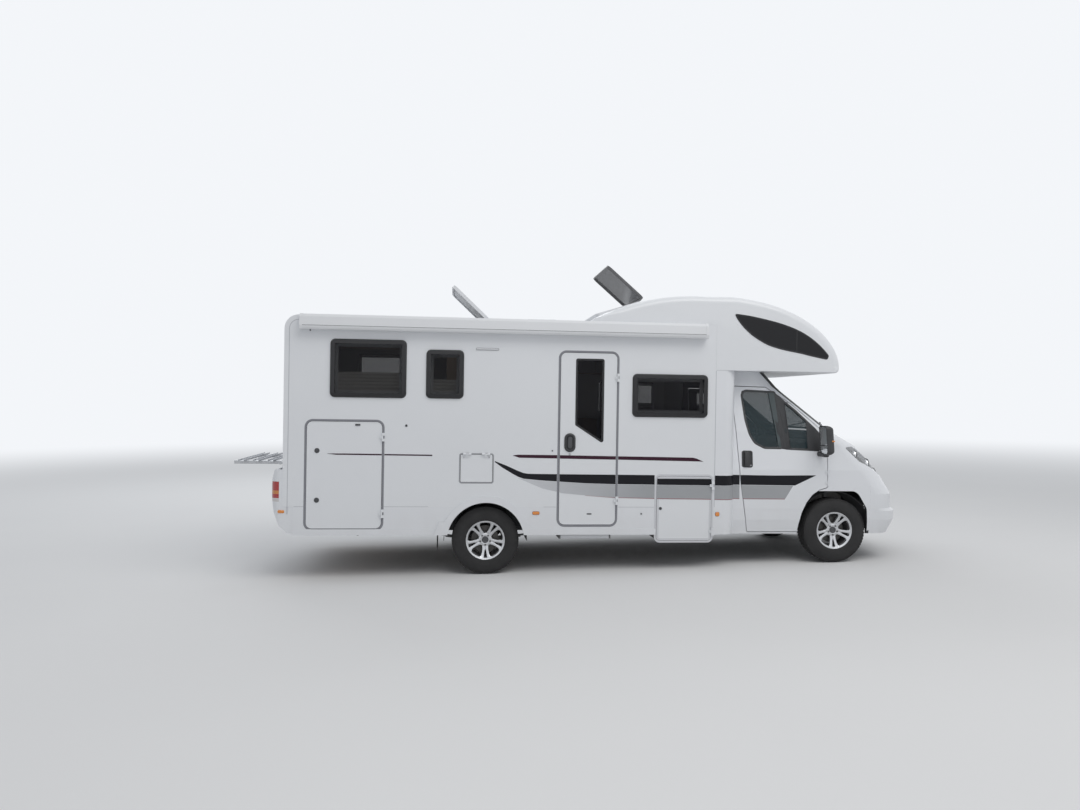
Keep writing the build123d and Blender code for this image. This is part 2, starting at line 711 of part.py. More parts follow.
def windscreen_zone(grow):
    shape = outline(WINDSCREEN, 60.0)
    if grow:
        shape = offset(shape, grow)
    return front_view(shape, 1900.0, 4000.0)


def bonnet_zone(grow):
    shape = outline(BONNET, 25.0)
    if grow:
        shape = offset(shape, grow)
    return front_view(shape, 2700.0, 4000.0)


def headlamp_zone(grow):
    shape = outline(HEADLAMP, 25.0)
    if grow:
        shape = offset(shape, grow)
    return both_sides(front_view(shape, 2900.0, 4000.0))


def bumper_zone(grow):
    """The lower nose, ahead of the front arches."""
    return brick(BUMPER_SEAM_X - grow, 4000.0, -1200.0, 1200.0, 300.0, BUMPER_SEAM + grow)


ARCH_EDGE = [(2474.0, 340.0), (2492.0, 590.0), (2640.0, 893.0), (3200.0, 893.0),
             (3322.0, 690.0), (3344.0, 340.0)]


def arch_zone():
    cutter = side_view(outline(ARCH_EDGE, 120.0), 480.0, 1100.0)
    return both_sides(cutter)


ARCH_LIP = 22.0  # thickness of the wing round a front arch
WELL_RADIUS = 443.0  # of the space that a steered front wheel sweeps about its kingpin


def wheel_wells():
    """Space behind the arch lips for the steered wheels, drawn about each kingpin."""
    x, z = FRONT_AXLE
    pin = FRONT_TRACK / 2 - KINGPIN_INSET
    well = upright(plan_view(Pos(x, pin) * Circle(WELL_RADIUS), z - 200.0, z + TYRE_RADIUS + 60.0))
    return both_sides(well) & cab_form(ARCH_LIP)


def cab_shell():
    return cab_form(0.0) - cab_form(CAB_WALL)


def cab_body(shell):
    """Pillars, wings, cowl and header of the cab, with every opening cut."""
    body = shell - arch_zone() - windscreen_zone(CLEAR) - headlamp_zone(CLEAR)
    body -= bumper_zone(CLEAR)
    body -= wheel_wells()
    body -= bonnet_zone(LEAF_GAP) + Pos(0, 0, BONNET_SEAL) * bonnet_zone(LEAF_GAP)
    for side in (-1, 1):
        body -= door_zone(side, LEAF_GAP)
        body += door_hinges(side)[1]
    body += bonnet_hinges()[1]
    half, low, high = GRILLES[0]
    body -= brick(3300.0, 4000.0, -half, half, low, high)
    return body


def cab_door(shell, side):
    panel = shell & door_zone(side, 0.0)
    panel -= glass_zone(side, 0.0)
    return panel + door_hinges(side)[0]


def door_glass(side):
    skin = cab_form(GLASS) - cab_form(3 * GLASS)
    return skin & glass_zone(side, -CLEAR)


def windscreen():
    skin = cab_form(2.0) - cab_form(2.0 + 2 * GLASS)
    return skin & windscreen_zone(0.0)


BONNET_HINGE = (2950.0, 1540.0)  # x and z, at the bonnet's rear corners
BONNET_HINGE_Y = 814.0
BONNET_HINGE_RADIUS = 7.0
BONNET_SKIN = 12.0
BONNET_ARM = 28.0  # width of the moving half of a hinge
BONNET_EAR = 21.0  # width of the fixed half
BONNET_TAB = 44.0  # from the hinge axis forward to the skin
EAR_BACK = (19.0, 40.0)  # how far behind the axis the fixed half rises to the cowl


def bonnet_hinges():
    """Moving and fixed halves of the bonnet's two hinges, under its rear corners."""
    x, z = BONNET_HINGE
    r = BONNET_HINGE_RADIUS
    near, far = EAR_BACK
    moving = fixed = None
    for side in (-1, 1):
        y0, y1 = sorted((side * (BONNET_HINGE_Y - BONNET_ARM / 2),
                         side * (BONNET_HINGE_Y + BONNET_ARM / 2)))
        arm = cross_bar(x, z, y0, y1, r)
        arm += brick(x, x + BONNET_TAB, y0, y1, z - r, z)
        moving = arm if moving is None else moving + arm
        inner = BONNET_HINGE_Y - BONNET_ARM / 2 - CLEAR
        y0, y1 = sorted((side * inner, side * (inner - BONNET_EAR)))
        ear = cross_bar(x, z, y0, y1, r)
        ear += brick(x - far, x, y0, y1, z - r, z - 2.0)
        ear += brick(x - far, x - near, y0, y1, z - r, z + 7 * r)
        fixed = ear if fixed is None else fixed + ear
    return moving & cab_form(4.0), fixed & cab_form(4.0)


def bonnet():
    skin = cab_form(0.0) - cab_form(BONNET_SKIN)
    return (skin & bonnet_zone(0.0)) + bonnet_hinges()[0]


def headlamps():
    skin = cab_form(0.0) - cab_form(CAB_WALL)
    return skin & headlamp_zone(0.0)


def grille_bars(row):
    """Slats across one grille opening, following the nose."""
    half, low, high = GRILLES[row]
    skin = cab_form(14.0) - cab_form(34.0)
    bars = None
    count = int((high - low) / GRILLE_PITCH)
    pitch = (high - low) / (count + 1)
    for step in range(count):
        z = low + (step + 1) * pitch
        bar = brick(3300.0, 4000.0, -half - 6.0, half + 6.0, z - GRILLE_BAR / 2, z + GRILLE_BAR / 2)
        bars = bar if bars is None else bars + bar
    return skin & bars


def front_bumper(shell):
    bumper = shell & bumper_zone(0.0)
    bumper -= arch_zone()
    bumper -= headlamp_zone(CLEAR)
    for row in (1, 2):
        half, low, high = GRILLES[row]
        opening = Pos(0, (low + high) / 2) * RectangleRounded(2 * half, high - low, 30.0)
        bumper -= front_view(opening, 3300.0, 4000.0)
        bumper += grille_bars(row)
    return bumper


def cab_surrounds():
    """Panels that join the side walls to the narrower cab, behind the doors."""
    x0, x1 = SIDE_FRONT_X + CLEAR, CAB_REAR_X + 70.0
    outer, inner = HALF_WIDTH, CAB_SECTIONS[0][1]
    plan = make_face([
        Line((x0, -outer), (x0 + 90.0, -outer)),
        ThreePointArc((x0 + 90.0, -outer), (x1 - 60.0, -outer + 34.0), (x1, -inner - 26.0)),
        Line((x1, -inner - 26.0), (x1, -inner + 60.0)),
        Line((x1, -inner + 60.0), (x0, -outer + WALL)),
        Line((x0, -outer + WALL), (x0, -outer)),
    ])
    panel = plan_view(plan, SKIRT_BOTTOM, ALCOVE_FLOOR - CLEAR)
    panel -= cab_form(-CLEAR)
    panel -= door_zone(-1, LEAF_GAP)
    return both_sides(panel.solids().sort_by(SortBy.VOLUME)[-1])


# Under the body


TAIL_HEIGHT = 60.0  # of the lowered rails under the garage
TAIL_TOP = GARAGE_FLOOR_TOP - FLOOR_THICKNESS - CLEAR
CROSS_MEMBER = 60.0  # width of a cross member
CROSS_INSET = 20.0  # a cross member's top under the rail's top
MAIN_MEMBERS = (-2120.0, -1700.0, -500.0, 250.0, 1000.0, 1750.0, 2450.0, 3360.0)
TAIL_MEMBERS = (-3150.0, -2420.0)
RAIL_FRONT_X = 3420.0
OUTRIGGERS = (-1720.0, -480.0, 560.0, 1410.0)
OUTRIGGER_WIDTH = 40.0
OUTRIGGER_HEIGHT = 50.0
OUTRIGGER_END = HALF_WIDTH - SKIRT_THICKNESS - 25.0


def chassis():
    """The ladder frame's two rails, which drop behind the rear axle to pass under the garage."""
    outer = RAIL_HALF_GAP + RAIL_WIDTH
    rear = GARAGE_FRONT_X + CLEAR
    drop = rear + CROSS_MEMBER
    rail = brick(rear, RAIL_FRONT_X, RAIL_HALF_GAP, outer, RAIL_TOP - RAIL_HEIGHT, RAIL_TOP)
    rail += brick(rear, drop, RAIL_HALF_GAP, outer, TAIL_TOP - TAIL_HEIGHT, RAIL_TOP)
    rail += brick(SKIRT_REAR_X, drop, RAIL_HALF_GAP, outer, TAIL_TOP - TAIL_HEIGHT, TAIL_TOP)
    return both_sides(rail)


def cross_members():
    """Cross members and outriggers, each welded to a rail's face."""
    outer = RAIL_HALF_GAP + RAIL_WIDTH
    bars = []
    for x in MAIN_MEMBERS:
        bars.append(brick(x, x + CROSS_MEMBER, -RAIL_HALF_GAP, RAIL_HALF_GAP,
                          RAIL_TOP - RAIL_HEIGHT + CROSS_INSET, RAIL_TOP - CROSS_INSET))
    for x in TAIL_MEMBERS:
        bars.append(brick(x, x + CROSS_MEMBER, -RAIL_HALF_GAP, RAIL_HALF_GAP,
                          TAIL_TOP - TAIL_HEIGHT, TAIL_TOP - CROSS_INSET))
    for x in OUTRIGGERS:
        bars.append(both_sides(brick(x, x + OUTRIGGER_WIDTH, outer, OUTRIGGER_END,
                                     RAIL_TOP - OUTRIGGER_HEIGHT, RAIL_TOP)))
    return Compound(children=[solid for bar in bars for solid in bar.solids()])


def floor():
    """Floor panel, with the wheel boxes' cut-outs and the step down to the garage."""
    inner = HALF_WIDTH - WALL - CLEAR
    panel = brick(GARAGE_FRONT_X, SIDE_FRONT_X, -inner, inner, WALL_BOTTOM,
                  WALL_BOTTOM + FLOOR_THICKNESS)
    cut = side_view(Pos(*REAR_AXLE) * Circle(LINER_RADIUS + CLEAR), WHEEL_BOX_INNER - CLEAR,
                    HALF_WIDTH)
    panel -= both_sides(cut)
    posts = None
    for x in (-2100.0, -300.0, 600.0):
        post = both_sides(brick(x, x + 80.0, RAIL_HALF_GAP, RAIL_HALF_GAP + RAIL_WIDTH,
                                RAIL_TOP + CLEAR, WALL_BOTTOM + 2.0))
        posts = post if posts is None else posts + post
    return panel + posts


def garage_tub():
    """Low garage floor, turned up at its rear edge, with its bulkhead."""
    inner = HALF_WIDTH - WALL - CLEAR
    low = GARAGE_FLOOR_TOP - FLOOR_THICKNESS
    rear = REAR_X + WALL + CLEAR
    front = GARAGE_FRONT_X - CLEAR
    profile = make_face(Polyline(
        (rear + 40.0, low), (front, low), (front, 1700.0), (front - FLOOR_THICKNESS, 1700.0),
        (front - FLOOR_THICKNESS, GARAGE_FLOOR_TOP), (rear + 60.0, GARAGE_FLOOR_TOP),
        (rear + 30.0, REAR_WALL_FOOT + 40.0), (rear, REAR_WALL_FOOT + 40.0),
        (rear, low + 80.0), close=True))
    return side_view(profile, -inner, inner)


WHEEL_BOX_INNER = 760.0


def wheel_boxes():
    """Liners over the four wheels."""
    outer = HALF_WIDTH - WALL - CLEAR
    boxes = None
    ring = Circle(LINER_RADIUS) - Circle(LINER_RADIUS - LINER_THICKNESS)
    for (x, z), inner_y, outer_y in (
        (REAR_AXLE, WHEEL_BOX_INNER, outer),
        (FRONT_AXLE, 600.0, 900.0),
    ):
        top = Pos(x, z + 300.0) * Rectangle(1200.0, 600.0)
        arch = side_view((Pos(x, z) * ring) & top, inner_y, outer_y)
        boxes = both_sides(arch) if boxes is None else boxes + both_sides(arch)
        if inner_y == WHEEL_BOX_INNER:
            above_beam = Pos(x, z + 360.0) * Rectangle(1200.0, 600.0)
            half_disc = (Pos(x, z) * Circle(LINER_RADIUS)) & above_beam
            boxes += both_sides(side_view(half_disc, inner_y, inner_y + LINER_THICKNESS))
    return boxes


CAB_BULKHEAD_X = 2880.0
CAB_PLATE = 24.0
CAB_WELL = 540.0  # half width of the footwell between the front wheels
CAB_SHELF = FRONT_AXLE[1] + LINER_RADIUS + CLEAR  # underside of the ledge over a front wheel


def cab_floor():
    """Cab floor, footwell and bulkhead between the front wheels."""
    inner = CAB_SECTIONS[0][1] - CAB_WALL - 30.0
    low = CAB_FLOOR_TOP - CAB_PLATE
    face = CAB_BULKHEAD_X - CAB_PLATE
    step = 2470.0
    base = brick(SIDE_FRONT_X + CLEAR, step, -inner, inner, low, CAB_FLOOR_TOP)
    base += brick(step - 10.0, CAB_BULKHEAD_X, -CAB_WELL, CAB_WELL, low, CAB_FLOOR_TOP)
    base += brick(face, CAB_BULKHEAD_X, -CAB_WELL, CAB_WELL, low, 1470.0)
    side = brick(face, CAB_BULKHEAD_X, CAB_WELL - 5.0, 880.0, CAB_SHELF + 4.0, 1470.0)
    side += brick(step, CAB_BULKHEAD_X, CAB_WELL - CAB_PLATE, CAB_WELL, low, CAB_SHELF + CAB_PLATE)
    side += brick(step - CAB_PLATE, step, CAB_WELL - CAB_PLATE, inner, low, CAB_SHELF + CAB_PLATE)
    side += brick(step - CAB_PLATE, FRONT_AXLE[0] + 20.0, CAB_WELL - CAB_PLATE, 880.0,
                  CAB_SHELF, CAB_SHELF + CAB_PLATE)
    base += both_sides(side)
    for x in (1500.0, 2300.0):
        base += both_sides(brick(x, x + 80.0, RAIL_HALF_GAP, RAIL_HALF_GAP + RAIL_WIDTH,
                                 RAIL_TOP + CLEAR, low + 2.0))
    return base


def gas_locker():
    """Box behind the gas locker door."""
    x0, x1, z0, z1, radius = RIGHT_LEAVES["gas_locker_door"]
    y = -(HALF_WIDTH - LEAF_THICKNESS - 8.0)
    deep = -(RAIL_HALF_GAP + RAIL_WIDTH + 130.0)
    skin = 12.0
    box = brick(x0 + 10.0, x1 - 10.0, y, deep, z0, WALL_BOTTOM - CLEAR)
    box -= brick(x0 + 10.0 + skin, x1 - 10.0 - skin, y - 50.0, deep - skin, z0 + skin,
                 WALL_BOTTOM + 50.0)
    return box


def engine():
    """Plain block at the place and size of the engine and gearbox."""
    return brick(3010.0, 3340.0, -340.0, 340.0, RAIL_TOP - RAIL_HEIGHT, 1090.0)


def tanks():
    """Fuel tank, fresh and waste water tanks, and the silencer, all under the floor."""
    inner = RAIL_HALF_GAP + RAIL_WIDTH + CLEAR
    outer = HALF_WIDTH - SKIRT_THICKNESS - 40.0
    top = RAIL_TOP - 55.0
    fuel = brick(900.0, 1430.0, inner, outer, 420.0, top)
    waste = brick(-350.0, 480.0, inner, outer, 430.0, top)
    silencer = side_view(Pos(-2000.0, 560.0) * Circle(75.0), -900.0, -inner)
    return fuel + waste + silencer


def rear_axle():
    """Dead beam axle on leaf springs."""
    x, z = REAR_AXLE
    half = REAR_TRACK / 2
    spring_y = RAIL_HALF_GAP + RAIL_WIDTH / 2
    beam = cross_bar(x, z, -half + 70.0, half - 70.0, 42.0)
    beam += cross_bar(x, z, -half - 20.0, half + 20.0, HUB_BORE - CLEAR)
    for side in (-1, 1):
        y0, y1 = side * spring_y - 35.0, side * spring_y + 35.0
        sag = 46.0
        for leaf, reach in enumerate((600.0, 440.0, 280.0)):
            lift = 12.0 * leaf
            drop = sag * (reach / 600.0) ** 2
            base = z - 46.0 - sag + 20.0 - lift
            edge = make_face([
                ThreePointArc((x - reach, base + drop), (x, base), (x + reach, base + drop)),
                Line((x + reach, base + drop), (x + reach, base + drop - 11.9)),
                ThreePointArc((x + reach, base + drop - 11.9), (x, base - 11.9),
                              (x - reach, base + drop - 11.9)),
                Line((x - reach, base + drop - 11.9), (x - reach, base + drop)),
            ])
            beam += side_view(edge, y0, y1)
        beam += brick(x - 60.0, x + 60.0, y0 - 8.0, y1 + 8.0, z - 110.0, z)
        for end in (-1, 1):
            ex = x + end * 600.0
            beam += brick(ex - 24.0, ex + 24.0, y0 + 6.0, y1 - 6.0, z - 46.0,
                          RAIL_TOP - RAIL_HEIGHT - CLEAR)
    return beam


def kingpin(side):
    """Distance from the centreline of one kingpin."""
    return side * (FRONT_TRACK / 2 - KINGPIN_INSET)


STRUT_RADIUS = 26.0


def upright(shape):
    """Turns a piece back by the rake about the front axle, so that its kingpin stands plumb."""
    x, z = FRONT_AXLE
    return shape.rotate(Axis((x, 0, z), (0, 1, 0)), -RAKE)


def front_suspension():
    """Subframe, lower arms and struts that carry the knuckles."""
    x, z = FRONT_AXLE
    frame = brick(x - 120.0, x + 120.0, -RAIL_HALF_GAP - 80.0, RAIL_HALF_GAP + 80.0, z - 60.0,
                  RAIL_TOP - RAIL_HEIGHT - CLEAR)
    for side in (-1, 1):
        pin = kingpin(side)
        arm = make_face(Polyline(
            (x - 110.0, side * (RAIL_HALF_GAP + 40.0)), (x + 110.0, side * (RAIL_HALF_GAP + 40.0)),
            (x + 24.0, pin), (x - 24.0, pin), close=True))
        frame += plan_view(arm, z - 120.0, z - 100.0)
        frame += brick(x - 100.0, x + 100.0, *sorted((side * (RAIL_HALF_GAP + 20.0),
                                                      side * (RAIL_HALF_GAP + 70.0))),
                       z - 120.0, z - 50.0)
        frame += upright(plan_view(Pos(x, pin) * Circle(STRUT_RADIUS), z - 116.0, z - 92.0))
        frame += upright(plan_view(Pos(x, pin) * Circle(STRUT_RADIUS), z + 110.0, z + 410.0))
        frame += brick(x - 28.0, x + 28.0, *sorted((side * RAIL_HALF_GAP, pin)), z + 380.0,
                       z + 420.0)
        frame += brick(x - 28.0, x + 28.0, *sorted((side * RAIL_HALF_GAP,
                                                    side * (RAIL_HALF_GAP + RAIL_WIDTH))),
                       RAIL_TOP + CLEAR, z + 420.0)
    return frame


def knuckle(side):
    """Upright with its kingpin bosses and the stub that carries the wheel."""
    x, z = FRONT_AXLE
    pin = kingpin(side)
    stub = side * (FRONT_TRACK / 2 + 20.0)
    post = plan_view(Pos(x, pin) * Circle(STRUT_RADIUS), z - 92.0 + CLEAR, z + 110.0 - CLEAR)
    post += side_view(Pos(x, z) * Circle(62.0), *sorted((pin, pin + side * 34.0)))
    post += side_view(Pos(x, z) * Circle(HUB_BORE - CLEAR), *sorted((pin, stub)))
    return upright(post)


# Wheels


def wheel_place(name):
    """Axle point, distance of the wheel's middle plane, and side."""
    side = 1 if name.endswith("left") else -1
    if name.startswith("front"):
        return FRONT_AXLE, side * FRONT_TRACK / 2, side
    return REAR_AXLE, side * REAR_TRACK / 2, side


def spin(profile, place):
    """A profile of (y, radius) points turned round one wheel's axle."""
    (x, z), y, side = place
    face = Plane(origin=(0, 0, 0), x_dir=(0, side, 0), z_dir=(side, 0, 0)) * profile
    return Pos(x, y, z) * revolve(face, axis=Axis.Y)


TYRE_FLANK = 55.0  # from the bead out to the widest point
TYRE_SHOULDER = (10.0, 26.0)  # how far the shoulder's edge lies in from the flank and the tread
TREAD_INSET = 34.0  # from the flank to the tread's edge
BEAD_SEAT = 82.0  # half width of the tyre at the rim


def tyre(place):
    """Tyre with straight flanks and shoulders; y is out from the middle plane."""
    half = TYRE_WIDTH / 2
    bead = RIM_RADIUS + CLEAR
    inset, depth = TYRE_SHOULDER
    flank = [(BEAD_SEAT, bead), (half, bead + TYRE_FLANK), (half - inset, TYRE_RADIUS - depth),
             (half - TREAD_INSET, TYRE_RADIUS)]
    other = [(-y, r) for y, r in reversed(flank)]
    return spin(make_face(Polyline(*flank, *other, close=True)), place)


SPOKES = 5


def rim(place):
    """Five twin-spoke alloy wheel: barrel, face with its windows, and the hub on its stub."""
    r = RIM_RADIUS
    barrel = make_face(Polyline(
        (-90.0, r), (90.0, r), (93.0, r + 11.0), (99.0, r + 11.0), (94.0, r - 10.0),
        (40.0, r - 22.0), (-70.0, r - 22.0), (-94.0, r - 6.0), (-99.0, r + 11.0),
        (-93.0, r + 11.0), close=True))
    face = make_face(Polyline(
        (20.0, HUB_BORE), (20.0, 66.0), (28.0, 150.0), (40.0, r - 20.0), (66.0, r - 14.0),
        (60.0, 120.0), (46.0, 70.0), (46.0, 40.0), (34.0, 0.0), (24.0, 0.0), (24.0, HUB_BORE),
        close=True))
    hub = make_face(Polyline((-40.0, HUB_BORE), (24.0, HUB_BORE), (24.0, 66.0), (-40.0, 66.0),
                             close=True))
    disc = spin(face + hub, place)
    (x, z), y, side = place
    window = outline([(-22.0, 82.0), (22.0, 82.0), (30.0, 92.0), (58.0, r - 44.0),
                      (48.0, r - 34.0), (-48.0, r - 34.0), (-58.0, r - 44.0), (-30.0, 92.0)])
    slit = outline([(-7.0, 108.0), (7.0, 108.0), (16.0, r - 34.0), (-16.0, r - 34.0)])
    for step in range(SPOKES):
        turn = 360.0 / SPOKES * step
        for shape, offset_turn in ((window, 0.0), (slit, 180.0 / SPOKES)):
            cutter = side_view(shape, -120.0, 120.0)
            disc -= Pos(x, y, z) * Rot(0, turn + offset_turn, 0) * cutter
    return disc + spin(barrel, place)


# Fittings outside


AWNING = (-3086.0, 1330.0)  # lowest and highest x
AWNING_ROWS = (2600.0, 2764.0)
AWNING_DEPTH = 104.0


def awning():
    """Awning rolled up in its cassette, on the right side of the roof edge."""
    low, high = AWNING_ROWS
    y = -HALF_WIDTH - CLEAR
    profile = outline([(y, low + 16.0), (y - 30.0, low), (y - AWNING_DEPTH + 10.0, low + 4.0),
                       (y - AWNING_DEPTH, low + 40.0), (y - AWNING_DEPTH + 8.0, high - 30.0),
                       (y - AWNING_DEPTH + 40.0, high), (y, high)])
    case = front_view(profile, AWNING[0] + 30.0, AWNING[1] - 30.0)
    cap = offset(profile, 3.0) & Pos(y - 200.0, (low + high) / 2) * Rectangle(400.0, 400.0)
    case += front_view(cap, AWNING[0], AWNING[0] + 30.0)
    case += front_view(cap, AWNING[1] - 30.0, AWNING[1])
    return case


CARRIER_REAR_X = -3915.0
CARRIER_X = REAR_X - 70.0  # the frame's uprights
CARRIER_HALF = 560.0
CARRIER_TOP = 2150.0
TUBE = 17.0
PLATFORM_HINGE = (CARRIER_X - 75.0, 1142.0)  # x and z
LUG = 11.0  # half thickness of a hinge lug
PLATFORM_RAILS = (90.0, 250.0, 410.0)  # from the hinge back to each wheel rail
RAIL_REACH = 640.0


def carrier_frame():
    """Cycle carrier's tube frame, fixed to the rear wall, with the platform's hinge lugs."""
    face = REAR_X - CLEAR
    hinge_x, hinge_z = PLATFORM_HINGE
    frame = None
    for y in (-CARRIER_HALF, CARRIER_HALF):
        post = plan_view(Pos(CARRIER_X, y) * Circle(TUBE), hinge_z - TUBE, CARRIER_TOP)
        for z in (1240.0, CARRIER_TOP - 50.0):
            post += brick(CARRIER_X, face, y - 22.0, y + 22.0, z - 22.0, z + 22.0)
        post += brick(hinge_x, CARRIER_X, y - LUG, y + LUG, hinge_z - TUBE, hinge_z + TUBE)
        post += cross_bar(hinge_x, hinge_z, y - LUG, y + LUG, TUBE + 4.0)
        frame = post if frame is None else frame + post
    for z in (1800.0, CARRIER_TOP - 30.0):
        frame += cross_bar(CARRIER_X, z, -CARRIER_HALF, CARRIER_HALF, TUBE)
    return frame


def carrier_platform():
    """Folding platform with its three cycle rails."""
    hinge_x, z = PLATFORM_HINGE
    reach = CARRIER_HALF - LUG - CLEAR
    platform = cross_bar(hinge_x, z, -reach, reach, TUBE)
    for y in (-CARRIER_HALF + 60.0, CARRIER_HALF - 60.0):
        arm = RectangleRounded(2 * TUBE + 4.0, 2 * TUBE + 4.0, 5.0)
        platform += front_view(Pos(y, z) * arm, CARRIER_REAR_X, hinge_x)
    rail = make_face(Polyline((-32.0, 0.0), (32.0, 0.0), (32.0, 22.0), (26.0, 22.0), (26.0, 6.0),
                              (-26.0, 6.0), (-26.0, 22.0), (-32.0, 22.0), close=True))
    for back in PLATFORM_RAILS:
        platform += side_view(Pos(hinge_x - back, z + 16.0) * rail, -RAIL_REACH, RAIL_REACH)
    return platform


STEP = (-270.0, 270.0)
STEP_TOP = 404.0


def entry_step():
    """Step tray, slid in under the entry door."""
    tray = brick(*STEP, -1096.0, -820.0, STEP_TOP - 34.0, STEP_TOP)
    tray -= brick(STEP[0] + 20.0, STEP[1] - 20.0, -1076.0, -810.0, STEP_TOP - 40.0,
                  STEP_TOP - 6.0)
    return tray


def step_runners():
    """Runners that hold the step tray, hung from the chassis rail."""
    runner = None
    rail = RAIL_HALF_GAP + RAIL_WIDTH
    for x in (STEP[0] - 20.0 - CLEAR, STEP[1] + CLEAR):
        piece = brick(x, x + 20.0, -1090.0, -rail, STEP_TOP - 40.0, 450.0)
        piece += brick(x, x + 20.0, -rail - 120.0, -rail, 440.0, RAIL_TOP - 20.0)
        runner = piece if runner is None else runner + piece
    return runner


MIRROR_X = 2740.0


def mirror_head(side):
    """Exterior mirror on its two arms, carried by the door."""
    y0, y1 = 1060.0, 1285.0
    head = plan_view(Pos(MIRROR_X, (y0 + y1) / 2) * RectangleRounded(96.0, y1 - y0, 34.0),
                     1240.0, 1655.0)
    for end in (-1, 0):
        head = chamfer(head.edges().group_by(Axis.Z)[end], 16.0)
    base = brick(MIRROR_X - 55.0, MIRROR_X + 40.0, 1000.0, 1180.0, 1205.0, 1262.0)
    base = chamfer(base.edges(), 10.0)
    shape = head + base
    shape -= cab_form(-CLEAR)
    shape = shape.solids().sort_by(SortBy.VOLUME)[-1]
    return shape if side > 0 else mirror(shape, about=Plane.XZ)


# Inside, as seen through the glass


def seat(y):
    """Cab seat on its box."""
    profile = outline([(1960.0, 1060.0), (2400.0, 1100.0), (2420.0, 1000.0), (2330.0, 960.0),
                       (2330.0, CAB_FLOOR_TOP + CLEAR), (1980.0, CAB_FLOOR_TOP + CLEAR),
                       (1980.0, 960.0), (1900.0, 980.0), (1760.0, 1680.0), (1840.0, 1700.0)],
                      18.0)
    body = side_view(profile, y - 240.0, y + 240.0)
    head = side_view(outline([(1730.0, 1720.0), (1825.0, 1735.0), (1800.0, 1900.0),
                              (1715.0, 1890.0)], 24.0), y - 130.0, y + 130.0)
    post = brick(1765.0, 1785.0, y - 40.0, y + 40.0, 1660.0, 1760.0)
    return body + head + post


def cab_seats():
    return seat(-480.0) + seat(480.0)


WHEEL_RIM = (185.0, 15.0)  # the steering wheel's radius, and its rim's


def steering_rim():
    """Six-sided ring of the steering wheel."""
    radius, half = WHEEL_RIM
    section = Plane.XZ * Pos(radius, 0) * RegularPolygon(half, 6)
    return revolve(section, axis=Axis.Z)


def dashboard():
    """Dashboard with the steering column and wheel on the left."""
    face = CAB_BULKHEAD_X - CAB_PLATE - CLEAR
    profile = outline([(face, 1466.0), (2560.0, 1440.0), (2470.0, 1350.0), (2520.0, 1180.0),
                       (2640.0, 1040.0), (face, 1040.0)], 30.0)
    board = side_view(profile, -860.0, 860.0)
    column = Pos(2440.0, 480.0, 1330.0) * Rot(0, -62.0, 0)
    board += column * steering_rim()
    board += column * Pos(0, 0, -60.0) * Cylinder(28.0, 150.0)
    for turn in (0.0, 120.0, 240.0):
        board += column * Rot(0, 0, turn) * Pos(92.0, 0, 0) * Box(180.0, 30.0, 14.0)
    return board


# Built-in units: lowest x, highest x, lowest y, highest y, lowest z, highest z
FLOOR_TOP = WALL_BOTTOM + FLOOR_THICKNESS + CLEAR
UNIT_Y = HALF_WIDTH - WALL - 2.0
UNITS = {
    "bed": (-3160.0, -2210.0, -UNIT_Y, UNIT_Y, 1700.0 + CLEAR, 1860.0),
    "kitchen": (-560.0, 420.0, 620.0, UNIT_Y, FLOOR_TOP, 1660.0),
    "bench": (560.0, 980.0, 480.0, UNIT_Y, FLOOR_TOP, 1180.0),
    "side bench": (560.0, 1400.0, -UNIT_Y, -700.0, FLOOR_TOP, 1180.0),
    "washroom": (-1560.0, -760.0, 340.0, UNIT_Y, FLOOR_TOP, 2690.0),
    "wardrobe": (-1560.0, -1000.0, -UNIT_Y, -640.0, FLOOR_TOP, 1700.0),
    "table top": (1010.0, 1400.0, 0.0, UNIT_Y, 1440.0, 1470.0),
    "table leg": (1150.0, 1210.0, 540.0, 600.0, FLOOR_TOP, 1441.0),
}


def furniture():
    """Plain built-in units that show through the windows and the doors."""
    wheel_space = side_view(Pos(*REAR_AXLE) * Circle(LINER_RADIUS + CLEAR),
                            WHEEL_BOX_INNER - CLEAR, HALF_WIDTH)
    units = None
    for x0, x1, y0, y1, z0, z1 in UNITS.values():
        unit = brick(x0, x1, y0, y1, z0, z1)
        units = unit if units is None else units + unit
    return units - both_sides(wheel_space)


def write(name, shape):
    """Turns a piece nose-down by the rake and writes it."""
    turned = shape.rotate(Axis.Y, RAKE)
    export_step(turned, f"parts/{name}.step")


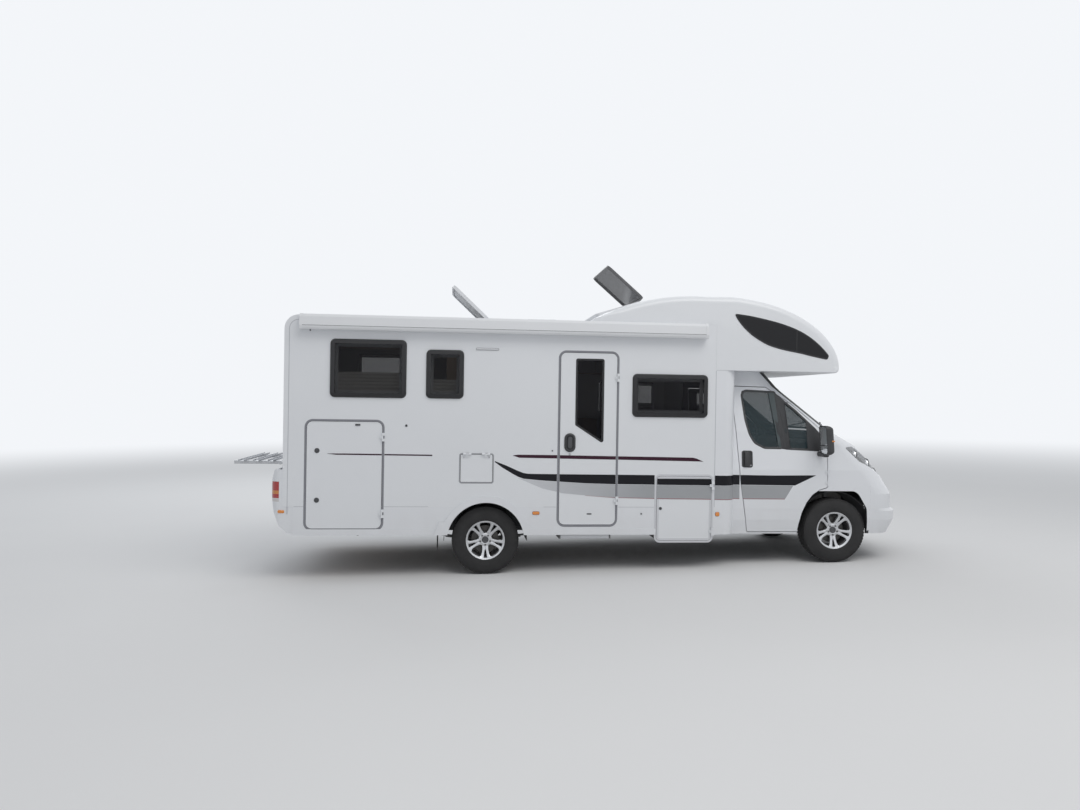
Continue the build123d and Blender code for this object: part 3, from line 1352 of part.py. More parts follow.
def main():
    os.makedirs("parts", exist_ok=True)
    hinges_right, hinges_left, leaves = {}, {}, {}
    leaves["entry_door"], hinges_right["entry_door"] = entry_door()
    for name in ("garage_door", "gas_locker_door"):
        leaves[name], hinges_right[name] = upright_leaf(RIGHT_LEAVES[name], -1)
    leaves["service_hatch"], hinges_right["service_hatch"] = top_leaf(
        RIGHT_LEAVES["service_hatch"], -1)
    leaves["toilet_hatch"], hinges_left["toilet_hatch"] = top_leaf(
        LEFT_LEAVES["toilet_hatch"], 1)
    for name, solid in leaves.items():
        write(name, solid)
    write("entry_glass", entry_glass())
    write("side_wall_right", side_wall(-1, RIGHT_PANES, RIGHT_LEAVES, hinges_right))
    write("side_wall_left", side_wall(1, LEFT_PANES, LEFT_LEAVES, hinges_left))
    write("skirts", skirt(-1, RIGHT_LEAVES, hinges_right) + skirt(1, LEFT_LEAVES, hinges_left))
    write("windows", windows() + alcove_windows())
    write("roof_panel", roof_panel())
    write("rooflight_frames", rooflight_frames())
    for name in ROOFLIGHTS:
        write(f"{name}_lid", rooflight_lid(name))
    write("rear_wall", rear_wall())
    write("rear_bumper", rear_bumper())
    write("tail_lamps", tail_lamps())
    write("alcove", alcove())
    shell = cab_shell()
    write("cab_body", cab_body(shell))
    for side, word in ((-1, "right"), (1, "left")):
        write(f"cab_door_{word}", cab_door(shell, side))
        write(f"door_glass_{word}", door_glass(side))
        write(f"mirror_{word}", mirror_head(side))
        write(f"knuckle_{word}", knuckle(side))
    write("windscreen", windscreen())
    write("bonnet", bonnet())
    write("headlamps", headlamps())
    write("front_bumper", front_bumper(shell))
    write("cab_surrounds", cab_surrounds())
    write("chassis", chassis())
    write("cross_members", cross_members())
    write("step_runners", step_runners())
    write("floor", floor())
    write("garage_tub", garage_tub())
    write("wheel_boxes", wheel_boxes())
    write("cab_floor", cab_floor())
    write("gas_locker", gas_locker())
    write("engine", engine())
    write("tanks", tanks())
    write("rear_axle", rear_axle())
    write("front_suspension", front_suspension())
    for name in ("front_left", "front_right", "rear_left", "rear_right"):
        place = wheel_place(name)
        write(f"tyre_{name}", tyre(place))
        write(f"rim_{name}", rim(place))
    write("awning", awning())
    write("carrier_frame", carrier_frame())
    write("carrier_platform", carrier_platform())
    write("entry_step", entry_step())
    write("cab_seats", cab_seats())
    write("dashboard", dashboard())
    write("furniture", furniture())


if __name__ == "__main__":
    main()
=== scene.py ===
# %% [markdown]
# # A coach-built motorhome
# The solid model of the vehicle comes first, as a fixed frame of real pieces in metres.
# Blender then gives it what a solid model lacks: paint, glass, rubber seals, treads, lamps, locks
# and seats. Each piece is placed from the same body measures that the solids were drawn from, so
# trim and solids meet.

# %% The frame
import math

import bmesh
import bpy
from mathutils import Matrix, Vector


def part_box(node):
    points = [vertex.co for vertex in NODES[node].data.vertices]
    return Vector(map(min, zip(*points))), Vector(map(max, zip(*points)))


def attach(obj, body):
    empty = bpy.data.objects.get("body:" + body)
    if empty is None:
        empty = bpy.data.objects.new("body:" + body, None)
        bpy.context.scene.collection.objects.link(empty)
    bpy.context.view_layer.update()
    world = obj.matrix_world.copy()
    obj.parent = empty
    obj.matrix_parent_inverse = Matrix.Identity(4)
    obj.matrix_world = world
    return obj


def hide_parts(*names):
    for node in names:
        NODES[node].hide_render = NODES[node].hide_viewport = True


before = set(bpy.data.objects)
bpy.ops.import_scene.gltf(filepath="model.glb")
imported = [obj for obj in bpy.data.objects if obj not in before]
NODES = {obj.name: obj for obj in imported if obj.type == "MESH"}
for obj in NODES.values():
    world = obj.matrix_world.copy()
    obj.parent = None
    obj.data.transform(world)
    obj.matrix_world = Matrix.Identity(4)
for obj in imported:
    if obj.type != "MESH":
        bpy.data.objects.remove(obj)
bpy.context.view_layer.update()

# %% [markdown]
# The vehicle stands with its tail a little low, so the drawing's body frame is turned by a small
# rake before it reaches the floor. Body measures are in millimetres: x forward, y to the left and
# z up from the floor under the rear axle. One function brings such a point to the scene.

# %% Body measures
RAKE = math.radians(1.25)
SIDES = ((-1, "right"), (1, "left"))


def row(x, y, z):
    """A point of the body, in millimetres, as a point of the scene, in metres."""
    return Vector((x * math.cos(RAKE) + z * math.sin(RAKE), y,
                   z * math.cos(RAKE) - x * math.sin(RAKE))) / 1000.0


# %% [markdown]
# The photograph was taken by someone standing beside the vehicle, with a wide lens. The camera
# stands where that person stood. Its place, turn, nod and slight lean were worked out from the two
# wheels, by where their middles and the edges of their rims lie in the picture.

# %% Camera
CAMERA_PLACE = Vector((-1.4206, -9.957, 1.900))
CAMERA_YAW, CAMERA_NOD, CAMERA_LEAN = 0.10576, -0.005815, -0.006348


def put_in_scene(name, data):
    """A new object with this data, linked to the scene."""
    placed = bpy.data.objects.new(name, data)
    bpy.context.scene.collection.objects.link(placed)
    return placed


def aim_camera():
    """The camera at the photograph's place, as an upright view turned by yaw, nod and lean."""
    ahead = Vector((math.sin(CAMERA_YAW) * math.cos(CAMERA_NOD),
                    math.cos(CAMERA_YAW) * math.cos(CAMERA_NOD), math.sin(CAMERA_NOD)))
    right = Vector((math.cos(CAMERA_YAW), -math.sin(CAMERA_YAW), 0.0))
    up = right.cross(ahead)
    c, s = math.cos(CAMERA_LEAN), math.sin(CAMERA_LEAN)
    columns = (c * right + s * up, c * up - s * right, -ahead)
    lens = bpy.data.cameras.new("camera")
    lens.lens, lens.sensor_width = 27.0, 36.0
    lens.clip_start, lens.clip_end = 0.1, 300.0
    camera = put_in_scene("camera", lens)
    camera.matrix_world = Matrix.Translation(CAMERA_PLACE) @ Matrix(columns).transposed().to_4x4()
    bpy.context.scene.camera = camera


aim_camera()
bpy.context.scene.view_settings.view_transform = "Standard"

# %% [markdown]
# A shader is a small sum. Here a socket is wrapped in a class with the signs of arithmetic, so a
# mask can be written as `1 - mask * 0.3`, and one method adds any other kind of node.

# %% Shader arithmetic


class Signal:
    """A socket that sums can be written on."""

    def __init__(self, recipe, socket):
        self.recipe, self.socket = recipe, socket

    def sum_of(self, operation, first, second):
        return self.recipe.node("ShaderNodeMath", {"operation": operation},
                                {0: first, 1: second})

    def __add__(self, other):
        return self.sum_of("ADD", self, other)

    def __sub__(self, other):
        return self.sum_of("SUBTRACT", self, other)

    def __rsub__(self, other):
        return self.sum_of("SUBTRACT", other, self)

    def __mul__(self, other):
        return self.sum_of("MULTIPLY", self, other)

    def __gt__(self, other):
        return self.sum_of("GREATER_THAN", self, other)

    def __lt__(self, other):
        return self.sum_of("LESS_THAN", self, other)

    __radd__ = __add__
    __rmul__ = __mul__


class Sums:
    """A node tree to which signals and nodes are added."""

    def __init__(self, tree):
        self.tree = tree

    def node(self, kind, settings, values, output=0):
        made = self.tree.nodes.new(kind)
        for name, value in settings.items():
            setattr(made, name, value)
        for name, value in values.items():
            if isinstance(value, Signal):
                self.tree.links.new(value.socket, made.inputs[name])
            else:
                made.inputs[name].default_value = value
        return Signal(self, made.outputs[output])


class Recipe(Sums):
    """The nodes of one finish, from the object's own coordinates to its surface."""

    def __init__(self, name):
        self.material = bpy.data.materials.new(name)
        self.material.use_nodes = True
        super().__init__(self.material.node_tree)
        self.tree.nodes.clear()
        self.place = self.node("ShaderNodeTexCoord", {}, {}, "Object")

    def noise(self, scale, detail=3.0, stretch=None):
        place = self.place
        if stretch:
            place = self.node("ShaderNodeVectorMath", {"operation": "MULTIPLY"},
                              {0: place, 1: stretch})
        return self.node("ShaderNodeTexNoise", {}, {"Vector": place, "Scale": scale,
                                                    "Detail": detail, "Roughness": 0.55})

    def axis(self, letter):
        return self.node("ShaderNodeSeparateXYZ", {}, {0: self.place}, letter)

    def mix(self, mask, first, second):
        colour = [value if isinstance(value, Signal) else (*value, 1.0)
                  for value in (first, second)]
        return self.node("ShaderNodeMix", {"data_type": "RGBA"},
                         {0: mask, 6: colour[0], 7: colour[1]}, 2)

    def bump(self, height, distance, strength=1.0):
        return self.node("ShaderNodeBump", {}, {"Height": height, "Distance": distance,
                                                "Strength": strength})

    def surface(self, **values):
        """The finished shader: values are sockets of the Principled node."""
        names = {name.replace("_", " "): value for name, value in values.items()}
        shader = self.node("ShaderNodeBsdfPrincipled", {}, names, "BSDF")
        output = self.tree.nodes.new("ShaderNodeOutputMaterial")
        self.tree.links.new(shader.socket, output.inputs["Surface"])
        return self.material

# %% [markdown]
# The body is a sandwich of foam between glass-fibre skins, sprayed white, and the cab is painted
# sheet steel. Neither is one flat colour: the white drifts a little from panel to panel, the skin
# is very slightly wavy, and road film greys the lowest part. A soft noise gives the drift, a fine
# one the spray's texture, and height above the floor gives the film.

# %% White finishes


def sprayed(recipe, colour, wave, film):
    """Sprayed white: its colour with drift and road film, the film's mask, and its relief."""
    low = recipe.node("ShaderNodeMapRange", {}, {"Value": recipe.axis("Z"), "From Min": 0.95,
                                                 "From Max": 0.30, "To Max": film})
    dirt = recipe.noise(5.0, 6.0, (1.0, 1.0, 0.35)) * low
    shade = recipe.mix(recipe.noise(1.3, 4.0), colour, [channel * 0.955 for channel in colour])
    height = recipe.noise(2.2, 2.0) * wave + recipe.noise(700.0, 2.0) * 0.04
    return recipe.mix(dirt, shade, (0.50, 0.49, 0.47)), dirt, recipe.bump(height, 0.0012, 0.35)


def white(name, colour, roughness, coat, wave, film=0.35):
    """White skin or paint: film makes it rougher low down."""
    recipe = Recipe(name)
    shade, dirt, relief = sprayed(recipe, colour, wave, film)
    return recipe.surface(Base_Color=shade, Roughness=dirt * 0.5 + roughness,
                          Coat_Weight=coat, Coat_Roughness=0.12, Normal=relief)


FINISHES = {
    "white_paint": white("cab_paint", (0.80, 0.815, 0.845), 0.30, 0.5, 0.5),
    "white_panel": white("wall_skin", (0.80, 0.815, 0.84), 0.36, 0.25, 1.0, 0.15),
    "awning_white": white("awning_paint", (0.79, 0.80, 0.82), 0.34, 0.3, 0.3, 0.0),
    "white_plastic": white("white_moulding", (0.78, 0.79, 0.81), 0.42, 0.0, 0.3, 0.3),
}

# %% [markdown]
# Unpainted plastic has a leathery grain that stops it shining, so a fine cell pattern is pressed
# into it. Steel under the floor is dusty and rough, the carrier's tubes are brushed in one
# direction, and the wheels are lacquered metal.

# %% Plastic and metal finishes


def grained(name, colour, roughness, cell=900.0, depth=0.0004, dust=0.25):
    """Moulded plastic with a pressed grain and a little dust."""
    recipe = Recipe(name)
    cells = recipe.node("ShaderNodeTexVoronoi", {"feature": "SMOOTH_F1"},
                        {"Vector": recipe.place, "Scale": cell})
    patches = recipe.noise(6.0, 5.0)
    shade = recipe.mix(patches * dust, colour, [0.5 * channel + 0.16 for channel in colour])
    return recipe.surface(Base_Color=shade, Roughness=patches * 0.12 + roughness,
                          Normal=recipe.bump(cells, depth, 0.5))


def metal(name, colour, roughness, metallic, grain=(1.0, 1.0, 1.0), coat=0.0, dirt=0.0):
    """Metal with a directional grain and dirt in patches."""
    recipe = Recipe(name)
    brushed = recipe.noise(260.0, 3.0, grain)
    patches = recipe.noise(9.0, 6.0)
    shade = recipe.mix(patches * dirt, colour, (0.13, 0.12, 0.11))
    shade = recipe.mix(brushed * 0.35, shade, [channel * 0.8 for channel in colour])
    return recipe.surface(Base_Color=shade, Roughness=brushed * 0.15 + roughness,
                          Metallic=metallic, Coat_Weight=coat, Coat_Roughness=0.1,
                          Normal=recipe.bump(brushed, 0.0002, 0.3))


FINISHES.update({
    "black_plastic": grained("black_moulding", (0.022, 0.023, 0.026), 0.42),
    "dark_plastic": grained("dark_moulding", (0.060, 0.062, 0.068), 0.55, 700.0),
    "grey_steel": metal("chassis_steel", (0.17, 0.175, 0.18), 0.48, 0.55, dirt=0.9),
    "cast_block": metal("cast_alloy", (0.30, 0.30, 0.30), 0.55, 0.7, dirt=0.8),
    "anodised_tube": metal("anodised_tube", (0.56, 0.57, 0.59), 0.30, 0.9, (0.04, 1.0, 1.0)),
    "alloy": metal("lacquered_alloy", (0.66, 0.67, 0.69), 0.22, 0.85, coat=0.5, dirt=0.12),
})

# %% [markdown]
# The windows of the living space are double panes of dark tinted acrylic, and the roof lid is
# smoked acrylic. The cab has thin greenish glass. All of it is mostly a mirror from outside, so it
# is a dark or green gloss that lets some of the inside through.

# %% Glass and lamp finishes


def pane(name, colour, alpha, roughness=0.04, tint=0.15, gloss=0.3):
    """Tinted pane: mostly mirror, partly see-through, with faint cloudiness."""
    recipe = Recipe(name)
    cloud = recipe.noise(2.0, 4.0)
    shade = recipe.mix(cloud, colour, [channel * (1.0 + tint) + 0.004 for channel in colour])
    return recipe.surface(Base_Color=shade, Roughness=cloud * 0.03 + roughness,
                          Alpha=cloud * 0.04 + alpha, Specular_IOR_Level=gloss,
                          Normal=recipe.bump(recipe.noise(1.1, 1.0), 0.001, 0.25))


def lamp(name, colour, alpha, pitch):
    """Ribbed lamp plastic: level flutes in the colour and in the relief of a cover."""
    recipe = Recipe(name)
    flutes = recipe.node("ShaderNodeTexWave", {"bands_direction": "Z"},
                         {"Vector": recipe.place, "Scale": pitch, "Distortion": 0.4})
    shade = recipe.mix(flutes, colour, [min(channel * 1.5 + 0.02, 1.0) for channel in colour])
    return recipe.surface(Base_Color=shade, Roughness=0.08, Alpha=alpha, Coat_Weight=1.0,
                          Coat_Roughness=0.02, Normal=recipe.bump(flutes, 0.0006, 0.5))


FINISHES.update({
    "cab_glass": pane("cab_glass", (0.030, 0.052, 0.060), 0.45, gloss=0.4),
    "tinted_glass": pane("tinted_acrylic", (0.004, 0.004, 0.006), 0.48, gloss=0.18),
    "smoked_acrylic": pane("smoked_acrylic", (0.10, 0.10, 0.105), 0.82, 0.16, gloss=0.5),
    "lamp_clear": lamp("clear_lamp", (0.78, 0.81, 0.84), 0.22, 90.0),
    "lamp_red": lamp("red_lamp", (0.36, 0.012, 0.015), 0.95, 110.0),
})

# %% [markdown]
# Inside are light wood-printed boards, phenolic plywood under the floor and in the garage, and
# seats in a woven cloth. The board's figure is noise stretched along the grain, and the cloth is
# two crossed waves of threads.

# %% Board, cloth and rubber finishes


def board(name, light, dark, stretch, roughness):
    """Wood-printed board: long figure from stretched noise, with fine pores."""
    recipe = Recipe(name)
    figure = recipe.noise(5.0, 6.0, stretch)
    rings = recipe.node("ShaderNodeTexWave", {"bands_direction": "Y"},
                        {"Vector": recipe.place, "Scale": 2.2, "Distortion": 7.0, "Detail": 3.0})
    shade = recipe.mix(figure * 0.6 + rings * 0.4, light, dark)
    pores = recipe.noise(160.0, 2.0, stretch)
    return recipe.surface(Base_Color=shade, Roughness=pores * 0.2 + roughness,
                          Normal=recipe.bump(pores, 0.0003, 0.4))


def woven(name, warp, weft, thread=420.0):
    """Seat cloth: two crossed waves of threads under soft wear."""
    recipe = Recipe(name)
    waves = []
    for direction in ("X", "Z"):
        waves.append(recipe.node("ShaderNodeTexWave", {"bands_direction": direction},
                                 {"Vector": recipe.place, "Scale": thread, "Distortion": 0.6}))
    crossed = waves[0] * 0.5 + waves[1] * 0.5
    wear = recipe.noise(4.0, 5.0)
    shade = recipe.mix(crossed * 0.7 + wear * 0.3, warp, weft)
    return recipe.surface(Base_Color=shade, Roughness=0.92, Sheen_Weight=0.25,
                          Normal=recipe.bump(crossed, 0.0006, 0.6))


def rubber(name, colour, roughness, dust):
    """Rubber: matt, faintly mottled, dusty in patches."""
    recipe = Recipe(name)
    mottle = recipe.noise(40.0, 5.0)
    patches = recipe.noise(7.0, 5.0)
    shade = recipe.mix(patches * dust, colour, (0.16, 0.155, 0.15))
    return recipe.surface(Base_Color=shade, Roughness=mottle * 0.12 + roughness,
                          Normal=recipe.bump(mottle, 0.0004, 0.4))


FINISHES.update({
    "plywood": board("film_faced_plywood", (0.23, 0.16, 0.11), (0.13, 0.09, 0.06),
                     (0.3, 1.0, 1.0), 0.45),
    "cabinet_wood": board("cabinet_board", (0.60, 0.47, 0.33), (0.46, 0.34, 0.22),
                          (1.0, 1.0, 0.12), 0.38),
    "seat_fabric": woven("seat_cloth", (0.17, 0.18, 0.20), (0.30, 0.31, 0.33)),
    "tyre": rubber("tyre_rubber", (0.012, 0.012, 0.013), 0.75, 0.14),
})
SEAL = rubber("black_seal", (0.016, 0.016, 0.018), 0.58, 0.12)

# %% [markdown]
# Some solids are one piece with more than one surface. The cab's shell is painted outside, coated
# black in the wheel wells and trimmed in dark plastic inside; the bumper's slats are black; the
# cab doors have a dark inner side. Masks of place and of the surface's own direction part them.

# %% Painted shells with a dark inside
# Middle of a front wheel, and radius of the well round it, in metres of the scene
WHEEL_X, WHEEL_Z, WELL = 2.945, 0.372, 0.4465


def two_sided(name, masks):
    """Cab paint that turns dark where one of the masks is on."""
    recipe = Recipe(name)
    x, y, z = [recipe.axis(letter) for letter in "XYZ"]
    off = recipe.node("ShaderNodeMath", {"operation": "ABSOLUTE"}, {0: y})
    facing = recipe.node("ShaderNodeTexCoord", {}, {}, "Normal")
    outward = recipe.node("ShaderNodeSeparateXYZ", {}, {0: facing}, "Y") * y
    forward = recipe.node("ShaderNodeSeparateXYZ", {}, {0: facing}, "X")
    shade, _, relief = sprayed(recipe, (0.80, 0.815, 0.845), 0.5, 0.35)
    dark = masks(recipe, x, off, z, outward, forward)
    return recipe.surface(Base_Color=recipe.mix(dark, shade, (0.030, 0.031, 0.034)),
                          Roughness=dark * 0.25 + 0.32, Coat_Weight=0.5 - dark * 0.5,
                          Coat_Roughness=0.12, Normal=relief)


# Each function of masks is given the same signals: places in metres, and the face's direction
def shell_masks(recipe, x, off, z, outward, forward):
    """Wheel wells, the lining of the cab, the slot under the bonnet and the engine bay."""
    ahead, up = x - WHEEL_X, z - WHEEL_Z
    well = ((ahead * ahead + up * up) < WELL ** 2) * (off < 0.990)
    lean = recipe.node("ShaderNodeMath", {"operation": "MAXIMUM"}, {0: z - 1.419, 1: 0.0})
    lining = (x > 1.64) * (x < 2.95) * (z > 0.72) * ((off + lean * 0.161) < 0.925)
    inner = (outward < -0.12) * (x < 3.0) * (z > 0.60)
    slot = (x > 3.25) * (off < 0.505) * (z > 0.938) * (z < 1.022)
    bay = (x > 2.45) * (x < 3.38) * (off < 0.93) * (z < 1.05) + (forward < -0.25) * (x > 2.9)
    return ((well + lining + inner + slot + bay) > 0.5)


def bumper_masks(recipe, x, off, z, outward, forward):
    """The slats of the two lower openings, and the bumper's back."""
    behind = (forward < -0.15) + (x < 3.40) * (off < 0.93)
    lower = (z > 0.386) * (z < 0.558) * (off < 0.641)
    upper = (z > 0.631) * (z < 0.738) * (off < 0.521)
    return (((lower + upper) * (x > 3.3) + behind) > 0.5)


def door_masks(recipe, x, off, z, outward, forward):
    """The door's inner side, and the post between its two panes."""
    post = (x > 2.258) * (x < 2.436) * (z > 1.40) * (z < 1.86)
    return ((outward < -0.12) + post > 0.5)


SHELLS = {"cab_body": two_sided("cab_shell_paint", shell_masks),
          "front_bumper": two_sided("bumper_paint", bumper_masks),
          "cab_door_right": two_sided("cab_door_paint", door_masks)}
SHELLS["cab_door_left"] = SHELLS["cab_door_right"]

for node in NODES.values():
    for place in node.material_slots:
        place.material = FINISHES[place.material.name.split(".")[0]]
for name, finish in SHELLS.items():
    for place in NODES[name].material_slots:
        if place.material == FINISHES["white_paint"]:
            place.material = finish
print("finishes", len(FINISHES), "on", len(NODES), "nodes")

# %% [markdown]
# The vehicle stands on a plain pale floor under a large soft sky, as on a bright overcast day.
# The floor and the world look almost white to the camera and in reflections, while the light that
# reaches the object stays at a plain level, so that white paint keeps its shape.

# %% Studio
SKY_LIGHT = 0.50
HORIZON = (0.90, 0.92, 0.95, 1.0)


def lay_floor():
    """A wide pale floor that fades into the background far from the vehicle."""
    recipe = Recipe("floor_paint")
    cloud = recipe.noise(0.35, 3.0)
    shade = recipe.mix(cloud, (0.80, 0.80, 0.80), (0.77, 0.77, 0.775))
    painted = recipe.node("ShaderNodeBsdfDiffuse", {}, {"Color": shade}, "BSDF")
    plain = recipe.node("ShaderNodeEmission", {}, {"Color": HORIZON}, "Emission")
    reach = recipe.node("ShaderNodeVectorMath", {"operation": "LENGTH"}, {0: recipe.place},
                        "Value")
    far = recipe.node("ShaderNodeMapRange", {"interpolation_type": "SMOOTHSTEP"},
                      {"Value": reach, "From Min": 7.0, "From Max": 34.0})
    seen = recipe.node("ShaderNodeLightPath", {}, {}, "Is Camera Ray")
    both = recipe.node("ShaderNodeMixShader", {}, {0: far * seen, 1: painted, 2: plain},
                       "Shader")
    output = recipe.tree.nodes.new("ShaderNodeOutputMaterial")
    recipe.tree.links.new(both.socket, output.inputs["Surface"])
    mesh = bpy.data.meshes.new("studio_floor")
    edge = 90.0
    mesh.from_pydata([(-edge, -edge, 0.0), (edge, -edge, 0.0), (edge, edge, 0.0),
                      (-edge, edge, 0.0)], [], [(0, 1, 2, 3)])
    mesh.materials.append(recipe.material)
    floor = put_in_scene("studio_floor", mesh)


def fill_sky():
    """A plain sky: white to the camera and in mirrors, softer as a light."""
    world = bpy.data.worlds.new("sky")
    bpy.context.scene.world = world
    world.use_nodes = True
    sky = Sums(world.node_tree)
    sky.tree.nodes.clear()
    rays = [sky.node("ShaderNodeLightPath", {}, {}, f"Is {kind} Ray")
            for kind in ("Camera", "Glossy", "Transmission")]
    seen = sky.node("ShaderNodeMath", {"operation": "MAXIMUM"}, {0: rays[0], 1: rays[1]})
    seen = sky.node("ShaderNodeMath", {"operation": "MAXIMUM"}, {0: seen, 1: rays[2]})
    light = sky.node("ShaderNodeBackground", {}, {"Color": (0.93, 0.96, 1.0, 1.0),
                                                  "Strength": SKY_LIGHT})
    shown = sky.node("ShaderNodeBackground", {}, {"Color": HORIZON})
    both = sky.node("ShaderNodeMixShader", {}, {0: seen, 1: light, 2: shown})
    output = sky.tree.nodes.new("ShaderNodeOutputWorld")
    sky.tree.links.new(both.socket, output.inputs["Surface"])


def hang_lamp(name, place, target, size, power, colour):
    """A large soft area lamp."""
    light = bpy.data.lights.new(name, "AREA")
    light.shape, light.size, light.size_y = "RECTANGLE", size[0], size[1]
    light.energy, light.color = power, colour
    lamp_object = put_in_scene(name, light)
    aim = (Vector(target) - Vector(place)).to_track_quat("-Z", "Y")
    lamp_object.matrix_world = Matrix.Translation(place) @ aim.to_matrix().to_4x4()


lay_floor()
fill_sky()
hang_lamp("high_softbox", (4.0, -8.0, 12.0), (0.0, 0.0, 1.2), (12.0, 8.0), 700.0,
          (1.0, 0.985, 0.96))
hang_lamp("far_softbox", (-4.0, 10.0, 10.0), (0.0, 0.0, 1.2), (12.0, 8.0), 520.0,
          (0.95, 0.975, 1.0))

# %% [markdown]
# Most trim on a vehicle is one profile that runs round an outline: a seal, a window frame, a raised
# panel. So the outlines are drawn once, as flat closed lines with rounded corners, and a moulding
# is a list of such lines, each a little larger or smaller and a little further out. A surface
# function then bends the flat drawing onto the wall, the cab's side or the tail.

# %% Outlines and mouldings


def soft_loop(corners, steps=7):
    """Closed line through (u, v, radius) corners, each rounded off by its radius."""
    loop = []
    for index, (u, v, radius) in enumerate(corners):
        here = Vector((u, v))
        back = (Vector(corners[index - 1][:2]) - here).normalized()
        ahead = (Vector(corners[(index + 1) % len(corners)][:2]) - here).normalized()
        half = back.angle(ahead) / 2
        centre = here + (back + ahead).normalized() * radius / math.sin(half)
        first = here + back * radius / math.tan(half) - centre
        last = here + ahead * radius / math.tan(half) - centre
        start = math.atan2(first.y, first.x)
        turn = (math.atan2(last.y, last.x) - start + math.pi) % math.tau - math.pi
        for step in range(steps + 1 if radius else 1):
            angle = start + turn * step / steps
            loop.append((centre.x + radius * math.cos(angle), centre.y + radius * math.sin(angle)))
    area = sum(a[0] * b[1] - b[0] * a[1] for a, b in zip(loop, loop[1:] + loop[:1]))
    return loop if area > 0 else loop[::-1]


def box_loop(u0, u1, v0, v1, radius, steps=7):
    return soft_loop([(u0, v0, radius), (u1, v0, radius), (u1, v1, radius), (u0, v1, radius)],
                     steps)


def smooth_line(points, steps=4):
    """More points along the same line, on a Catmull-Rom curve."""
    result = []
    padded = [points[0], *points, points[-1]]
    for a, b, c, d in zip(padded, padded[1:], padded[2:], padded[3:]):
        for step in range(steps):
            t = step / steps
            result.append(tuple(0.5 * (2 * q + (r - p) * t + (2 * p - 5 * q + 4 * r - s) * t * t
                                       + (3 * q - p - 3 * r + s) * t ** 3)
                                for p, q, r, s in zip(a, b, c, d)))
    return result + [points[-1]]


def round_loop(u, v, radius, steps=28):
    return [(u + radius * math.cos(math.tau * step / steps),
             v + radius * math.sin(math.tau * step / steps)) for step in range(steps)]


def grown(loop, distance):
    """The line moved outwards, each corner along its mitre."""
    result = []
    for index, (u, v) in enumerate(loop):
        ahead, back = loop[(index + 1) % len(loop)], loop[index - 1]
        first = Vector((v - back[1], back[0] - u)).normalized()
        second = Vector((ahead[1] - v, u - ahead[0])).normalized()
        middle = (first + second).normalized()
        reach = distance / max(middle.dot(first), 0.5)
        result.append((u + middle.x * reach, v + middle.y * reach))
    return result


def tube_faces(rows, count, closed):
    """Faces between rings of points; an open tube gets a cap at each end."""
    faces = []
    for ring in range(rows if closed else rows - 1):
        after = (ring + 1) % rows
        for step in range(count):
            beside = (step + 1) % count
            faces.append((ring * count + step, ring * count + beside,
                          after * count + beside, after * count + step))
    if not closed:
        faces.append(tuple(range(count)))
        faces.append(tuple(range((rows - 1) * count, rows * count)))
    return faces


def moulding(loop, section, surface, ring=False):
    """A plate, or a ring, whose section is a list of (outwards in the plane, out of it)."""
    points = [surface(u, v, out) for grow, out in section for u, v in grown(loop, grow)]
    return points, tube_faces(len(section), len(loop), ring)


def turned(profile, place, steps=48, start=0.0):
    """A shape turned about the body's cross axis: profile is (y, radius), place maps x, y, z."""
    points = []
    for step in range(steps):
        angle = math.tau * step / steps + start
        points += [place(radius * math.cos(angle), y, radius * math.sin(angle))
                   for y, radius in profile]
    return points, tube_faces(steps, len(profile), True)


def bar_along(path, radius, sides=10):
    """A round bar through points that are already in the scene."""
    points = []
    for index, here in enumerate(path):
        ahead = (path[min(index + 1, len(path) - 1)] - path[max(index - 1, 0)]).normalized()
        side = ahead.cross(Vector((0, 0, 1)) if abs(ahead.z) < 0.9 else Vector((1, 0, 0)))
        side.normalize()
        up = side.cross(ahead)
        points += [here + (side * math.cos(math.tau * k / sides)
                           + up * math.sin(math.tau * k / sides)) * radius
                   for k in range(sides)]
    return points, tube_faces(len(path), sides, False)


def slab(low, high, bevel=0.0):
    """A small block between two corners of the body, with its four upright edges cut."""
    loop = box_loop(low[0], high[0], low[2], high[2], bevel, 3)
    rows = [(low[1], -bevel * 0.5), (low[1] + bevel * 0.5, 0.0), (high[1] - bevel * 0.5, 0.0),
            (high[1], -bevel * 0.5)]
    points = [row(x, y, z) for y, inset in rows for x, z in grown(loop, inset)]
    return points, tube_faces(len(rows), len(loop), False)


def side_slab(side, x, y, z, bevel):
    """A slab on one side of the body, from its stretches of x, of y off the middle, and of z."""
    low, high = sorted((side * y[0], side * y[1]))
    return slab((x[0], low, z[0]), (x[1], high, z[1]), bevel)


def make_piece(name, parts, slot, finish=None, body="vehicle_body", crease=32):
    """One object from closed shapes, smooth up to the crease angle, in the slot's finish."""
    built = bmesh.new()
    for points, faces in parts:
        corners = [built.verts.new(point) for point in points]
        for face in faces:
            built.faces.new([corners[index] for index in face])
    bmesh.ops.dissolve_degenerate(built, dist=1e-6, edges=built.edges)
    bmesh.ops.recalc_face_normals(built, faces=built.faces)
    mesh = bpy.data.meshes.new(name)
    built.to_mesh(mesh)
    built.free()
    mesh.shade_smooth()
    mesh.set_sharp_from_angle(angle=math.radians(crease))
    mesh.materials.append(finish or FINISHES[slot])
    piece = put_in_scene(name, mesh)
    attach(piece, body)
    return piece


def baked(piece):
    """The mesh that the piece's modifiers make; the modifiers are then taken off."""
    graph = bpy.context.evaluated_depsgraph_get()
    mesh = bpy.data.meshes.new_from_object(piece.evaluated_get(graph), depsgraph=graph)
    piece.modifiers.clear()
    return mesh


# %% [markdown]
# Things that repeat are left to Geometry Nodes. One tree lays copies of a small shape round a
# circle, which is how tread blocks and wheel bolts are set out. Its inputs carry the sizes, and the
# result comes back as plain points and faces.

# %% A tree for copies round a circle


